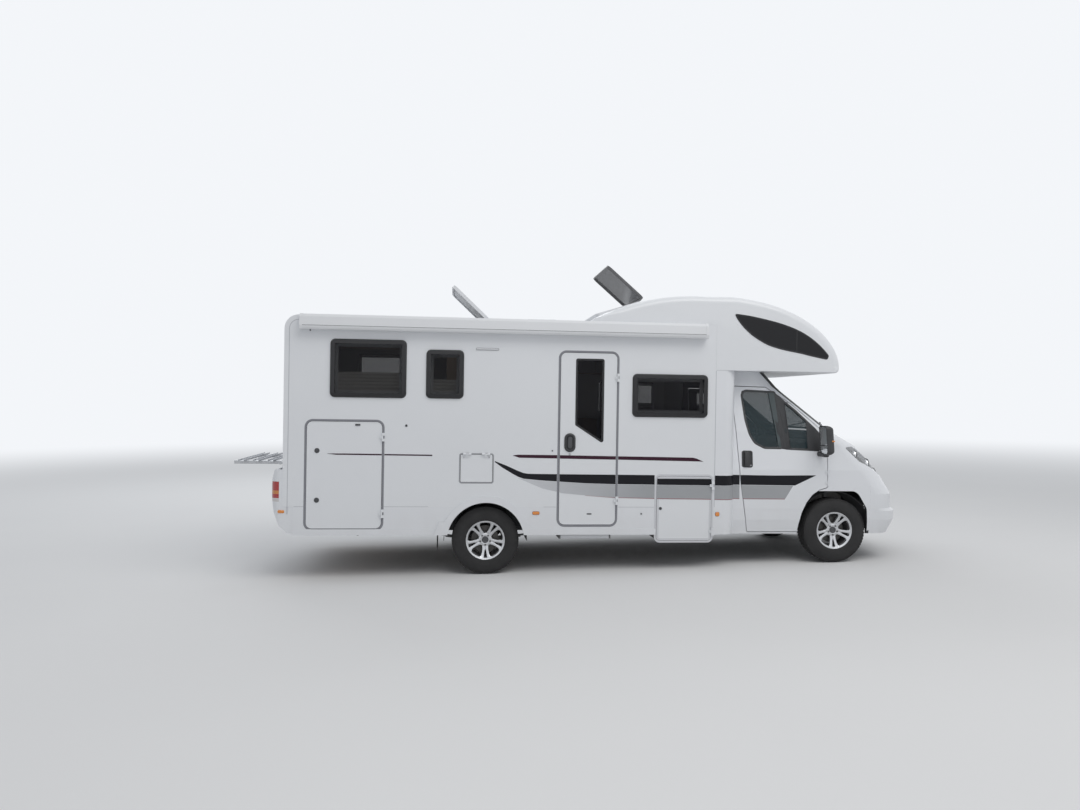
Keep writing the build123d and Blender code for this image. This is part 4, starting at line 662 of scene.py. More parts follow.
class Works(Sums):
    """A Geometry Nodes tree with named inputs."""

    def __init__(self, name, inputs):
        super().__init__(bpy.data.node_groups.new(name, "GeometryNodeTree"))
        self.keys = {}
        for label, kind in inputs.items():
            socket = self.tree.interface.new_socket(label, in_out="INPUT", socket_type=kind)
            self.keys[label] = socket.identifier
        self.tree.interface.new_socket("Geometry", in_out="OUTPUT",
                                       socket_type="NodeSocketGeometry")
        self.given = self.tree.nodes.new("NodeGroupInput")

    def take(self, label):
        return Signal(self, self.given.outputs[label])

    def close(self, geometry, finish):
        plain = self.node("GeometryNodeRealizeInstances", {}, {"Geometry": geometry})
        done = self.node("GeometryNodeSetMaterial", {}, {"Geometry": plain, "Material": finish})
        self.tree.links.new(done.socket, self.tree.nodes.new("NodeGroupOutput").inputs[0])

    def run(self, **values):
        """Points and faces that the tree makes with these inputs."""
        holder = put_in_scene("holder", bpy.data.meshes.new("holder"))
        modifier = holder.modifiers.new("works", "NODES")
        modifier.node_group = self.tree
        for label, value in values.items():
            modifier[self.keys[label]] = value
        mesh = baked(holder)
        bpy.data.objects.remove(holder)
        part = [point.co.copy() for point in mesh.vertices], [tuple(face.vertices)
                                                              for face in mesh.polygons]
        bpy.data.meshes.remove(mesh)
        return part


def copies_round_circle(finish):
    """Copies of a shape, laid flat on a circle about the cross axis and facing outwards."""
    works = Works("copies_round_circle", {"Shape": "NodeSocketObject", "Count": "NodeSocketInt",
                                          "Radius": "NodeSocketFloat", "Turn": "NodeSocketFloat"})
    circle = works.node("GeometryNodeMeshCircle", {}, {"Vertices": works.take("Count"),
                                                       "Radius": works.take("Radius")})
    spot = works.node("GeometryNodeInputPosition", {}, {})
    facing = works.node("FunctionNodeAlignEulerToVector", {"axis": "X", "pivot_axis": "Z"},
                        {"Vector": spot})
    shape = works.node("GeometryNodeObjectInfo", {}, {"Object": works.take("Shape")}, "Geometry")
    copies = works.node("GeometryNodeInstanceOnPoints", {},
                        {"Points": circle, "Instance": shape, "Rotation": facing})
    spin = works.node("ShaderNodeCombineXYZ", {}, {"Z": works.take("Turn")})
    turned_copies = works.node("GeometryNodeTransform", {}, {"Geometry": copies,
                                                             "Rotation": spin})
    works.close(turned_copies, finish)
    return works


def template(name, part):
    """A hidden shape for a tree to copy."""
    mesh = bpy.data.meshes.new(name)
    mesh.from_pydata(part[0], [], part[1])
    return put_in_scene(name, mesh)


def moved(part, place):
    """The same faces on points that went through a function of x, y and z."""
    return [place(*point) for point in part[0]], part[1]


# %% [markdown]
# A van tyre has five rows of blocks between straight grooves. The blocks are cut slightly askew and
# are tapered, so that they let go of small stones, and the outer rows reach over the shoulder. The
# carcass is one turned section; each block has a handful of faces, because there are hundreds.

# %% Tyres
WHEELS = {"rear_right": ("rear_right_wheel", -1), "rear_left": ("rear_left_wheel", 1),
          "front_right": ("front_right_wheel", -1), "front_left": ("front_left_wheel", 1)}
TYRE_SECTION = [(-0.083, 0.2040), (-0.095, 0.2080), (-0.1040, 0.2230), (-0.1105, 0.2480),
                (-0.1118, 0.2690), (-0.1100, 0.2950), (-0.1060, 0.3180), (-0.1020, 0.3300),
                (-0.1008, 0.3330), (-0.0985, 0.3400), (-0.0930, 0.3530), (-0.0820, 0.3600),
                (-0.0500, 0.3630), (0.0, 0.3637)]
# Rows of tread blocks: middle y, half width at the root, radius of the root, turn in pitches
TREAD_ROWS = [(-0.0850, 0.0130, 0.3560, 0.0), (-0.0490, 0.0165, 0.3610, 0.5),
              (0.0, 0.0175, 0.3620, 0.0), (0.0490, 0.0165, 0.3610, 0.5),
              (0.0850, 0.0130, 0.3560, 0.0)]
TREAD_COUNT = 62
TREAD_TOP = 0.3717


def tread_block(half_width, root, y):
    """A tapered block with a slanted lead edge; x is outwards, y round the tyre, z across."""
    length = math.tau * root / TREAD_COUNT * 0.80 / 2
    slant = 0.006 if y >= 0 else -0.006
    top = TREAD_TOP - abs(y) * 0.03 - root
    rows = ((0.0, 1.0), (top - 0.0018, 0.93), (top, 0.84))
    points = [(out, side_y * length * taper + slant * side_z * taper, side_z * half_width * taper)
              for out, taper in rows
              for side_y, side_z in ((-1, -1), (1, -1), (1, 1), (-1, 1))]
    return points, tube_faces(len(rows), 4, False)


def tyre_parts():
    """Carcass, sidewall rings and tread of one tyre, about its own centre."""
    plain = lambda x, y, z: Vector((x, y, z))
    profile = TYRE_SECTION + [(-y, radius) for y, radius in TYRE_SECTION[-2::-1]]
    parts = [turned(profile, plain, 96)]
    for side in (-1, 1):
        for radius in (0.2360, 0.2810, 0.3105):
            bead = [(side * (0.1085 - abs(radius - 0.268) * 0.10), radius - 0.0016),
                    (side * (0.1124 - abs(radius - 0.268) * 0.13), radius),
                    (side * (0.1085 - abs(radius - 0.268) * 0.10), radius + 0.0016)]
            parts.append(turned(bead, plain, 96))
    works = copies_round_circle(FINISHES["tyre"])
    for y, half_width, root, turn in TREAD_ROWS:
        block = template("tread_block", tread_block(half_width, root, y))
        copies = works.run(Shape=block, Count=TREAD_COUNT, Radius=root - 0.004,
                           Turn=turn * math.tau / TREAD_COUNT)
        bpy.data.objects.remove(block)
        parts.append(moved(copies, lambda a, b, c, y=y: Vector((a, y + c, b))))
    return parts


def wheel_centre(corner):
    low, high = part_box("tyre_" + corner)
    return (low + high) / 2


TYRE_PARTS = tyre_parts()
for corner, (body, side) in WHEELS.items():
    middle = wheel_centre(corner)
    placed = [moved(part, lambda x, y, z: Vector((x, y, z)) + middle) for part in TYRE_PARTS]
    tyre = make_piece("tyre_tread_" + corner, placed, "tyre", body=body)
    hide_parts("tyre_" + corner)
print("tyre faces", sum(len(part[1]) for part in TYRE_PARTS))

# %% [markdown]
# The alloy wheels have five broad spokes, each split into two arms by a slit, with large openings
# between them. One arm is a beam whose width, height and distance from its neighbour change from
# hub to lip; ten copies, every other one mirrored, make the star. The lip is thin and bright. The
# barrel behind it gets a near-black colour as painted shade of the wheel's inside, so the openings
# read as openings.

# %% Alloy wheels
# Stations of an arm: radius, angle of its edge at the slit and at the opening, height of its face
ARM = [(0.060, 0.0, 31.0, 0.056), (0.080, 0.0, 25.0, 0.060), (0.096, 0.0, 20.5, 0.064),
       (0.106, 0.8, 18.6, 0.066), (0.120, 3.4, 17.2, 0.069), (0.140, 4.3, 16.0, 0.074),
       (0.160, 4.8, 15.8, 0.080), (0.178, 5.2, 16.8, 0.086), (0.190, 5.0, 19.5, 0.0905),
       (0.1965, 3.5, 24.0, 0.093)]
# The barrel's near-black colour is painted shade: inside the wheel little light reaches it.
SHADED_BARREL_METAL = metal("barrel_paint", (0.055, 0.056, 0.060), 0.50, 0.5, dirt=0.4)
# The disc is dark iron, and its colour is darker still as painted shade behind the spokes.
DISC_IRON_AND_SHADE = metal("disc_iron", (0.10, 0.098, 0.095), 0.45, 0.8, dirt=0.3)


def spoke_arm(turn, way):
    """One arm of a twin spoke, about the wheel's centre; y is outwards."""
    points = []
    for radius, inner, outer, face in ARM:
        edge = math.degrees(0.0028 / radius)
        middle, half = (inner + outer) / 2, (outer - inner) / 2
        for angle, y in ((inner, face - 0.036), (inner, face - 0.0045),
                         (inner + edge, face - 0.0012), (middle - half * 0.4, face + 0.0006),
                         (middle + half * 0.4, face + 0.0006), (outer - edge, face - 0.0012),
                         (outer, face - 0.0045), (outer, face - 0.030)):
            around = math.radians(turn + way * angle)
            points.append(Vector((radius * math.sin(around), y, radius * math.cos(around))))
    return points, tube_faces(len(ARM), 8, False)


HUB_PROFILE = [(0.018, 0.0001), (0.018, 0.069), (0.050, 0.074), (0.0560, 0.0725), (0.0585, 0.068),
               (0.0590, 0.046), (0.0575, 0.040), (0.0570, 0.0001)]
LIP_PROFILE = [(-0.099, 0.2140), (-0.093, 0.2140), (-0.090, 0.2034), (0.090, 0.2034),
               (0.0935, 0.2125), (0.0965, 0.2142), (0.0992, 0.2125), (0.0992, 0.2085),
               (0.0962, 0.2030), (0.0945, 0.1965), (0.0900, 0.1925), (0.0600, 0.1890),
               (0.0400, 0.1840), (-0.0700, 0.1820), (-0.0940, 0.1970)]
BARREL_PROFILE = [(0.0580, 0.1886), (0.0395, 0.1836), (-0.0700, 0.1814), (-0.0930, 0.1960),
                  (-0.0935, 0.1945), (-0.0720, 0.1790), (0.0395, 0.1810), (0.0585, 0.1872)]

# %% [markdown]
# Behind each wheel a cast brake disc shows through the openings; its dark iron colour is darkened
# further as painted shade. In front the wheel bolts sit round a plain centre cap. The cap carries
# no badge.

# %% Wheel bolts, caps and brakes


def bolt_head():
    """A six-sided head with a chamfer on a round washer; x points outwards from the circle."""
    points, count = [], 6
    for out, radius in ((0.0, 0.0115), (0.004, 0.0115), (0.012, 0.0100), (0.0145, 0.0078)):
        for k in range(count):
            angle = math.tau * k / count
            points.append((radius * math.cos(angle), radius * math.sin(angle), out))
    return points, tube_faces(4, count, False)


BOLT_WORKS = copies_round_circle(FINISHES["grey_steel"])
bolt = template("bolt_head", bolt_head())
BOLT_RING = BOLT_WORKS.run(Shape=bolt, Count=5, Radius=0.056, Turn=math.pi / 2 + math.pi / 5)
bpy.data.objects.remove(bolt)
ARMS = [spoke_arm(36.0 + 72.0 * spoke, way) for spoke in range(5) for way in (-1, 1)]
for corner, (body, side) in WHEELS.items():
    middle = wheel_centre(corner)

    def outward(x, y, z):
        """Wheel coordinates with y outwards from the wheel's middle plane."""
        return Vector((x + middle.x, middle.y + side * y, z + middle.z))

    bright = [moved(arm, outward) for arm in ARMS]
    bright += [turned(HUB_PROFILE, outward, 60), turned(LIP_PROFILE, outward, 96)]
    wheel = make_piece("alloy_wheel_" + corner, bright, "alloy", body=body, crease=28)
    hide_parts("rim_" + corner)
    make_piece("wheel_barrel_" + corner, [turned(BARREL_PROFILE, outward, 72)], "alloy",
               finish=SHADED_BARREL_METAL, body=body)
    bolts = moved(BOLT_RING, lambda a, b, c: outward(a, 0.0565 + c, b))
    make_piece("wheel_bolts_" + corner, [bolts], "grey_steel", body=body)
    cap = turned([(0.050, 0.0001), (0.050, 0.0360), (0.0640, 0.0360), (0.0675, 0.0335),
                  (0.0685, 0.0280), (0.0672, 0.0250), (0.0678, 0.0001)], outward, 40)
    make_piece("wheel_cap_" + corner, [cap], "alloy", finish=FINISHES["dark_plastic"], body=body)
    disc = turned([(-0.004, 0.075), (-0.004, 0.150), (0.004, 0.150), (0.004, 0.090),
                   (0.014, 0.084), (0.016, 0.075)], outward, 56)
    make_piece("brake_disc_" + corner, [disc], "cast_block", finish=DISC_IRON_AND_SHADE, body=body)

# %% [markdown]
# The wall's face is flat at half the body's width; doors and hatches stand a little proud of it.
# The cab narrows upwards in flat strips, and two panels round the corner between wall and cab. One
# function for each of these faces turns a drawing (x, z, out) into a point of the scene.

# %% Faces of the body
HALF_WIDTH, REAR_X, SEAM_X, SURROUND_END = 1150.0, -3255.0, 1452.0, 1710.0
LEAF_PROUD = 4.0
# Half width of the cab at each height
CAB_HALVES = [(400.0, 985.0), (560.0, 1008.0), (660.0, 1012.0), (692.0, 1014.0),
              (857.0, 1015.0), (1133.0, 1012.0), (1419.0, 985.0), (1568.0, 972.0),
              (2090.0, 885.0), (2257.7, 850.0)]
# Three points (x, y) of the panel that rounds the corner to the cab
CORNER_ARC = ((1542.3, 1150.0), (1650.0, 1116.0), (1710.0, 1011.0))


def level(table, z):
    """Straight interpolation in a table of (height, value)."""
    for (low, first), (high, second) in zip(table, table[1:]):
        if z <= high or high == table[-1][0]:
            return first + (second - first) * (z - low) / (high - low)


def wall_face(side, proud=0.0):
    return lambda x, z, out: row(x, side * (HALF_WIDTH + proud + out), z)


def cab_face(side):
    return lambda x, z, out: row(x, side * (level(CAB_HALVES, z) + out), z)


def circle_through(a, b, c):
    """Middle and radius of the circle through three points of a plane."""
    (au, av), (bu, bv), (cu, cv) = a, b, c
    twice = 2.0 * (au * (bv - cv) + bu * (cv - av) + cu * (av - bv))
    squares = [u * u + v * v for u, v in (a, b, c)]
    u = (squares[0] * (bv - cv) + squares[1] * (cv - av) + squares[2] * (av - bv)) / twice
    v = (squares[0] * (cu - bu) + squares[1] * (au - cu) + squares[2] * (bu - au)) / twice
    return u, v, math.hypot(au - u, av - v)


def surround_face(side):
    """The panel that rounds the corner from the wall to the cab door's post."""
    middle_x, middle_y, radius = circle_through(*CORNER_ARC)

    def face(x, z, out):
        if x <= CORNER_ARC[0][0]:
            return row(x, side * (HALF_WIDTH + out), z)
        y = middle_y + math.sqrt(max(radius ** 2 - (x - middle_x) ** 2, 0.0))
        away = Vector((x - middle_x, y - middle_y)).normalized()
        return row(x + away.x * out, side * (y + away.y * out), z)
    return face


def tail_face(y, z, out):
    return row(REAR_X - out, y, z)


# Doors and hatches in the walls: side, lowest and highest x, lowest and highest z, corner radius
LEAVES = {
    "entry_door": (-1, -300.0, 325.0, 530.0, 2415.0, 60.0),
    "garage_door": (-1, -3008.0, -2222.0, 489.0, 1628.0, 60.0),
    "gas_locker_door": (-1, 794.0, 1416.0, 353.0, 1065.0, 40.0),
    "service_hatch": (-1, -1380.0, -1037.0, 992.0, 1288.0, 12.0),
    "toilet_hatch": (1, -820.0, -430.0, 800.0, 1110.0, 12.0),
}

# %% [markdown]
# Every door of the living body closes on a rubber seal in a light frame. From a few paces the two
# read as a grey outline with a thin dark line inside it, so each gets both: a frame on the wall
# with rounded lips, and a thin lip that fills the gap to the leaf. They stay on the body when the
# leaf opens.

# %% Door frames and seals
FRAME_GREY = rubber("grey_frame_profile", (0.235, 0.24, 0.265), 0.42, 0.10)
LOCKER_RIM = white("pale_frame", (0.66, 0.67, 0.70), 0.38, 0.1, 0.0, 0.2)
HATCH_RIM = rubber("hatch_frame_profile", (0.36, 0.37, 0.39), 0.42, 0.10)


def frame_section(width, height):
    """Closed section of a rounded profile that hooks into the gap round a leaf."""
    return [(3.0, -14.0), (3.0, 0.4), (5.0, height), (width * 0.45, height + 0.7),
            (width - 2.5, height), (width, 0.3), (width - 1.0, -0.6), (9.0, -0.6), (9.0, -14.0)]


for leaf, (side, x0, x1, z0, z1, radius) in LEAVES.items():
    loop = box_loop(x0, x1, z0, z1, radius)
    width = 17.0 if "hatch" in leaf else 26.0
    finish = {"gas_locker_door": LOCKER_RIM, "service_hatch": HATCH_RIM,
              "toilet_hatch": HATCH_RIM}.get(leaf, FRAME_GREY)
    profile = moulding(loop, frame_section(width, 2.6), wall_face(side), ring=True)
    make_piece("frame_" + leaf, [profile], "black_plastic", finish=finish)
    lip = [(0.9, -12.0), (0.9, -2.0), (2.4, -0.6), (4.2, -2.0), (4.2, -12.0)]
    make_piece("seal_" + leaf, [moulding(loop, lip, wall_face(side), ring=True)], "black_plastic",
               finish=SEAL)

# %% [markdown]
# The leaves themselves are the same skin as the wall in an edge profile. The profile is a thin
# raised band just inside the edge. The locker's band is wider and greyer than the others.

# %% Edge bands on the leaves
for leaf, (side, x0, x1, z0, z1, radius) in LEAVES.items():
    loop = box_loop(x0, x1, z0, z1, radius)
    reach = 24.0 if leaf == "gas_locker_door" else 13.0
    band = [(-0.8, 0.2), (-2.0, 1.5), (-reach + 1.5, 1.5), (-reach, 0.2), (-reach, -1.0),
            (-0.8, -1.0)]
    finish = LOCKER_RIM if leaf == "gas_locker_door" else FINISHES["white_panel"]
    make_piece("edge_band_" + leaf, [moulding(loop, band, wall_face(side, LEAF_PROUD), ring=True)],
               "white_panel", finish=finish, body=leaf)

# %% [markdown]
# A hinged acrylic window stands proud of the wall in a black frame. The pane is blown, so its
# middle is slightly domed, and its flat back stands for the inner pane. Its border is printed
# black. The blind's cassette and a pleated blind show through. The dark panes replace the plain
# solids.

# %% Living-room windows
# Side, lowest and highest x, lowest and highest z, how far the blind is drawn
PANES = [
    (-1, -2770.0, -1980.0, 1895.0, 2505.0, 0.42), (-1, -1757.0, -1366.0, 1898.0, 2410.0, 0.35),
    (-1, 508.0, 1352.0, 1728.0, 2192.0, 0.0), (1, -2770.0, -1980.0, 1895.0, 2505.0, 0.30),
    (1, -700.0, 100.0, 1790.0, 2330.0, 0.0), (1, 500.0, 1340.0, 1728.0, 2192.0, 0.25),
]
PANE_CORNER = 45.0
BORDER_PRINT = grained("border_print", (0.012, 0.012, 0.014), 0.16, 60.0, 0.00002, 0.05)
BLIND_CLOTH = woven("blind_cloth", (0.60, 0.58, 0.54), (0.68, 0.66, 0.62), 260.0)


def stacked(loops, face):
    """A plate through outlines with the same number of points: each is (loop, out)."""
    points = [face(u, v, out) for loop, out in loops for u, v in loop]
    return points, tube_faces(len(loops), len(loops[0][0]), False)


def pane_parts(side, x0, x1, z0, z1):
    """Glass with a domed middle, its printed border and the rubber frame behind it."""
    loop = box_loop(x0, x1, z0, z1, PANE_CORNER)
    face = wall_face(side)
    dome = [(3.0, 5.0), (0.5, 8.0), (0.5, 17.0), (2.5, 20.0), (7.0, 21.0), (44.0, 21.3),
            (90.0, 21.8), (140.0, 22.0)]
    glass = stacked([(box_loop(x0 + inset, x1 - inset, z0 + inset, z1 - inset,
                               max(PANE_CORNER - inset, 5.0)), out) for inset, out in dome], face)
    border = moulding(loop, [(-42.0, 21.4), (-42.0, 21.9), (-6.4, 21.7), (-1.6, 20.2),
                             (0.1, 17.0), (0.1, 7.0), (-1.5, 7.0), (-1.5, 17.0),
                             (-3.0, 19.5), (-7.0, 21.2)], face, ring=True)
    rubber_frame = moulding(loop, [(-14.0, 0.3), (5.0, 0.3), (7.5, 1.5), (6.5, 6.0), (2.0, 8.0),
                                   (-14.0, 8.0)], face, ring=True)
    return glass, border, rubber_frame


glasses, borders, rubbers, cassettes, blinds = [], [], [], [], []
for side, x0, x1, z0, z1, drawn in PANES:
    glass, border, rubber_frame = pane_parts(side, x0, x1, z0, z1)
    glasses.append(glass)
    borders.append(border)
    rubbers.append(rubber_frame)
    inner = box_loop(x0 + 48.0, x1 - 48.0, z0 + 48.0, z1 - 48.0, 25.0)
    cassettes.append(moulding(inner, [(10.0, -44.0), (10.0, -38.0), (-22.0, -38.0),
                                      (-24.0, -46.0), (-24.0, -58.0), (10.0, -58.0)],
                              wall_face(side), ring=True))
    if drawn:
        depth = (z1 - z0 - 140.0) * drawn
        pleats = max(4, round(depth / 18.0))
        edge = [(-46.0 - 7.0 * (step % 2), z0 + 70.0 + depth * step / pleats)
                for step in range(pleats + 1)]
        outline = edge + [(out - 1.2, z) for out, z in reversed(edge)]
        points = [row(x, side * (HALF_WIDTH + out), z) for x in (x0 + 72.0, x1 - 72.0)
                  for out, z in outline]
        blinds.append((points, tube_faces(2, len(outline), False)))
PANE_GLASS = make_piece("window_panes", glasses, "tinted_glass", crease=40)
make_piece("window_borders", borders, "black_plastic", finish=BORDER_PRINT)
make_piece("window_rubbers", rubbers, "black_plastic", finish=SEAL)
make_piece("blind_cassettes", cassettes, "white_plastic")
make_piece("pleated_blinds", blinds, "seat_fabric", finish=BLIND_CLOTH, crease=12)
print("windows", len(glasses))

# %% [markdown]
# The window over the cab follows the curve of the brow. It is one smooth dark pane, let in almost
# flush, with a thin upright divider in the place where two sheets meet.

# %% Window over the cab
BROW_OVER = [(1690.0, 2889.0), (1860.0, 2868.0), (2120.0, 2815.0), (2300.0, 2763.0),
             (2440.0, 2706.0), (2560.0, 2635.0), (2660.0, 2556.0), (2735.0, 2480.0)]
BROW_UNDER = [(2700.0, 2409.0), (2560.0, 2436.0), (2423.0, 2466.0), (2270.0, 2492.0),
              (2129.0, 2525.0), (2010.0, 2568.0), (1870.0, 2650.0), (1760.0, 2745.0),
              (1690.0, 2830.0)]
BROW_CORNERS = ([(u, v, 0.0) for u, v in smooth_line(BROW_OVER, 5)] + [(2764.0, 2446.0, 22.0),
                (2748.0, 2402.0, 18.0)] + [(u, v, 0.0) for u, v in smooth_line(BROW_UNDER, 5)]
                + [(1654.0, 2892.0, 12.0)])
BROW_PROUD = 2.4
BROW_GLASS = pane("brow_acrylic", (0.008, 0.008, 0.010), 1.0)


def brow_parts(side):
    """Pane, black edge and divider of the shaped window on one side."""
    loop = soft_loop(BROW_CORNERS)
    face = wall_face(side, BROW_PROUD)
    glass = moulding(loop, [(-2.0, -10.0), (-2.0, -3.0), (-4.0, -0.6), (-12.0, 0.0)], face)
    edge = moulding(loop, [(-1.0, -6.0), (2.0, 0.2), (0.5, 1.4), (-6.0, 1.4), (-15.0, 0.9),
                           (-15.0, -1.0)], face, ring=True)
    divider = side_slab(side, (2378.0, 2390.0), (HALF_WIDTH, HALF_WIDTH + 1.6 + BROW_PROUD),
                        (2487.0, 2728.0), 2.0)
    return glass, edge, divider


for side, word in SIDES:
    glass, edge, divider = brow_parts(side)
    make_piece("brow_window_" + word, [glass], "tinted_glass", finish=BROW_GLASS, crease=40)
    make_piece("brow_edge_" + word, [edge, divider], "black_plastic", finish=BORDER_PRINT)
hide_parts("windows")

# %% [markdown]
# The stripes are cut vinyl film. Each is drawn as a top and a bottom line along the body, then
# laid on whatever carries it: wall, door leaf, corner panel or cab door. The film is cut at every
# gap, so a piece on a door turns with that door. A wide dark band, a grey band under it with a
# thin reddish edge, a dark-red line above and one behind are plain bands, without any words.

# %% Vinyl stripes
# The cab door's rear and front edge, and where its rear edge begins to slant and how much
DOOR_REAR_X, DOOR_FRONT_X, DOOR_KINK_Z, DOOR_SLANT = 1801.5, 2836.0, 1016.0, 0.152
# Each stripe: its top line, its bottom line and its colour, as points (x, z)
STRIPES = {
    "dark_band": ([(-1024, 1226), (-883, 1172), (-757, 1116), (-700, 1094), (-646, 1085),
                   (-560, 1083), (809, 1078), (1285, 1078), (1717, 1074), (2198, 1069),
                   (2700, 1074)],
                  [(-1024, 1220), (-929, 1151), (-803, 1077), (-750, 1050), (-693, 1030),
                   (-488, 1012), (-314, 1002), (-11, 985), (309, 976), (632, 973), (1285, 968),
                   (1777, 962), (2450, 956), (2700, 1072)], (0.007, 0.007, 0.010)),
    "grey_band": ([(-755, 1040), (-693, 1026), (-488, 1008), (-314, 998), (-11, 981), (309, 972),
                   (632, 969), (1285, 964), (1777, 958), (2425, 952)],
                  [(-755, 1036), (-486, 925), (-264, 875), (-9, 852), (311, 832), (797, 822),
                   (1287, 818), (1837, 806), (2335, 804), (2425, 948)], (0.36, 0.37, 0.385)),
    "red_line": ([(-814, 1283), (-759, 1292), (-318, 1291), (304, 1284), (789, 1280),
                  (1198, 1275), (1240, 1266), (1319, 1233)],
                 [(-814, 1281), (-743, 1259), (-333, 1254), (305, 1247), (790, 1240),
                  (1281, 1233), (1319, 1231)], (0.040, 0.010, 0.022)),
    "rear_line": ([(-2792, 1288), (-2600, 1290), (-1686, 1284)],
                  [(-2792, 1286), (-2700, 1276), (-1686, 1270)], (0.035, 0.010, 0.020)),
    "red_edge": ([(-9, 852), (311, 832), (797, 822), (1287, 818), (1837, 806), (2335, 804)],
                 [(-9, 847), (311, 823), (797, 813), (1287, 809), (1837, 797), (2331, 795)],
                 (0.33, 0.20, 0.21)),
}


def vinyl(name, colour):
    """Film: even, a little glossier than the panel; two of the bands fade in from behind."""
    recipe = Recipe(name)
    mottle = recipe.noise(3.0, 4.0)
    shade = recipe.mix(mottle * 0.5, colour, [channel * 1.15 + 0.004 for channel in colour])
    if name.endswith(("grey_band", "red_edge")):
        strength = recipe.node("ShaderNodeMapRange", {}, {"Value": recipe.axis("X"),
                                                          "From Min": -0.9, "From Max": 0.7})
        shade = recipe.mix(strength, (0.66, 0.67, 0.70), shade)
    return recipe.surface(Base_Color=shade, Roughness=mottle * 0.1 + 0.30,
                          Specular_IOR_Level=0.22,
                          Normal=recipe.bump(recipe.noise(300.0), 0.0001, 0.2))


def carriers(side):
    """Stretches of one side: from x, to x, face, lift of the film, body, lowest and highest z."""
    wall = wall_face(side)
    spans = []
    for leaf, (leaf_side, x0, x1, z0, z1, radius) in LEAVES.items():
        if leaf_side == side:
            spans.append((x0 + 1.5, x1 - 1.5, wall_face(side, LEAF_PROUD), 1.7, leaf, z0 + 26.0,
                          z1 - 26.0))
    door = "right_cab_door" if side < 0 else "left_cab_door"
    spans.append((SEAM_X + 4.0, SURROUND_END - 6.0, surround_face(side), 1.6, "vehicle_body",
                  300.0, 2000.0))
    spans.append((SURROUND_END + 3.0, 1791.0, cab_face(side), 1.0, "vehicle_body", 300.0, 2000.0))
    spans.append((DOOR_REAR_X, DOOR_FRONT_X, door_skin(side), 1.0, door, 300.0, 2000.0))
    taken = sorted((span[0] - 29.0, span[1] + 29.0, span[5] - 55.0, span[6] + 55.0)
                   for span in spans if span[0] < SEAM_X)
    return spans, taken, wall


def door_skin(side):
    """The cab's side, with what lies near the door's slanted rear edge pushed along to it."""
    face = cab_face(side)

    def place(x, z, out):
        near = max(0.0, 1.0 - (x - DOOR_REAR_X) / 300.0)
        return face(x + max(DOOR_KINK_Z - z, 0.0) * DOOR_SLANT * near, z, out)
    return place


def along(line, x):
    return level([(float(px), float(pz)) for px, pz in line], x)


def film_part(top, bottom, x0, x1, face, lift, low, high):
    """One closed strip of film from x0 to x1, or nothing where it misses the carrier."""
    steps = max(2, math.ceil((x1 - x0) / (12.0 if x0 > SEAM_X else 45.0)))
    points, rows = [], 0
    knots = {x0 + (x1 - x0) * step / steps for step in range(steps + 1)}
    knots |= {float(x) for x, _ in top + bottom if x0 < x < x1}
    for x in sorted(knots):
        z_top, z_bottom = min(along(top, x), high), max(along(bottom, x), low)
        if z_top - z_bottom < 0.4:
            continue
        rows += 1
        points += [face(x, z_bottom, lift - 0.6), face(x, z_bottom, lift),
                   face(x, z_top, lift), face(x, z_top, lift - 0.6)]
    return (points, tube_faces(rows, 4, False)) if rows > 1 else None


def lay_stripes(side, word):
    spans, taken, wall = carriers(side)
    for name, (top, bottom, colour) in STRIPES.items():
        finish = VINYLS[name]
        strips = {}
        first, last = max(top[0][0], bottom[0][0]), min(top[-1][0], bottom[-1][0])
        for x0, x1, face, lift, body, low, high in spans:
            a, b = max(first, x0), min(last, x1)
            middle_z = along(top, (a + b) / 2) if a < b else 0.0
            if a < b and low < middle_z < high + 60.0:
                part = film_part(top, bottom, a, b, face, lift, low, high)
                if part:
                    strips.setdefault(body, []).append(part)
        edges = [first]
        for x0, x1, low, high in taken:
            middle_z = along(top, min(max((x0 + x1) / 2, first), last))
            if x1 > first and x0 < last and low < middle_z < high:
                edges += [max(x0, first), max(x1, first)]
        edges.append(min(last, SEAM_X - 3.0))
        for a, b in zip(edges[::2], edges[1::2]):
            if b - a > 8.0:
                part = film_part(top, bottom, a, b, wall, 0.9, 0.0, 3000.0)
                if part:
                    strips.setdefault("vehicle_body", []).append(part)
        for body, parts in strips.items():
            make_piece(f"{name}_{word}_{body}", parts, "dark_plastic", finish=finish, body=body,
                       crease=60)


VINYLS = {name: vinyl("vinyl_" + name, colour) for name, (_, _, colour) in STRIPES.items()}
for side, word in SIDES:
    lay_stripes(side, word)

# %% [markdown]
# Handles and locks are what a hand looks for, so they are modelled rather than painted on. The
# entry door has an oval black handle with a flap in its middle, and the garage and service doors
# have small turning locks. Each sits on its leaf and turns with it. The keyholes carry no mark.

# %% Handles and locks of the living body


def knob(x, z, radius, face):
    """A turning lock: a collar, a recessed dial and a grip bar across it."""
    loop = round_loop(x, z, radius)
    collar = moulding(loop, [(0.0, 0.0), (0.0, 3.0), (-1.5, 5.0), (-radius * 0.22, 5.0),
                             (-radius * 0.3, 3.0), (-radius * 0.3, 0.0)], face, ring=True)
    dial = moulding(loop, [(-radius * 0.28, 0.5), (-radius * 0.28, 3.4), (-radius * 0.34, 4.2)],
                    face)
    grip = box_loop(x - radius * 0.5, x + radius * 0.5, z - radius * 0.13, z + radius * 0.13, 1.5)
    return [collar, dial, moulding(grip, [(0.0, 4.0), (0.0, 8.0), (-1.0, 9.0)], face)]


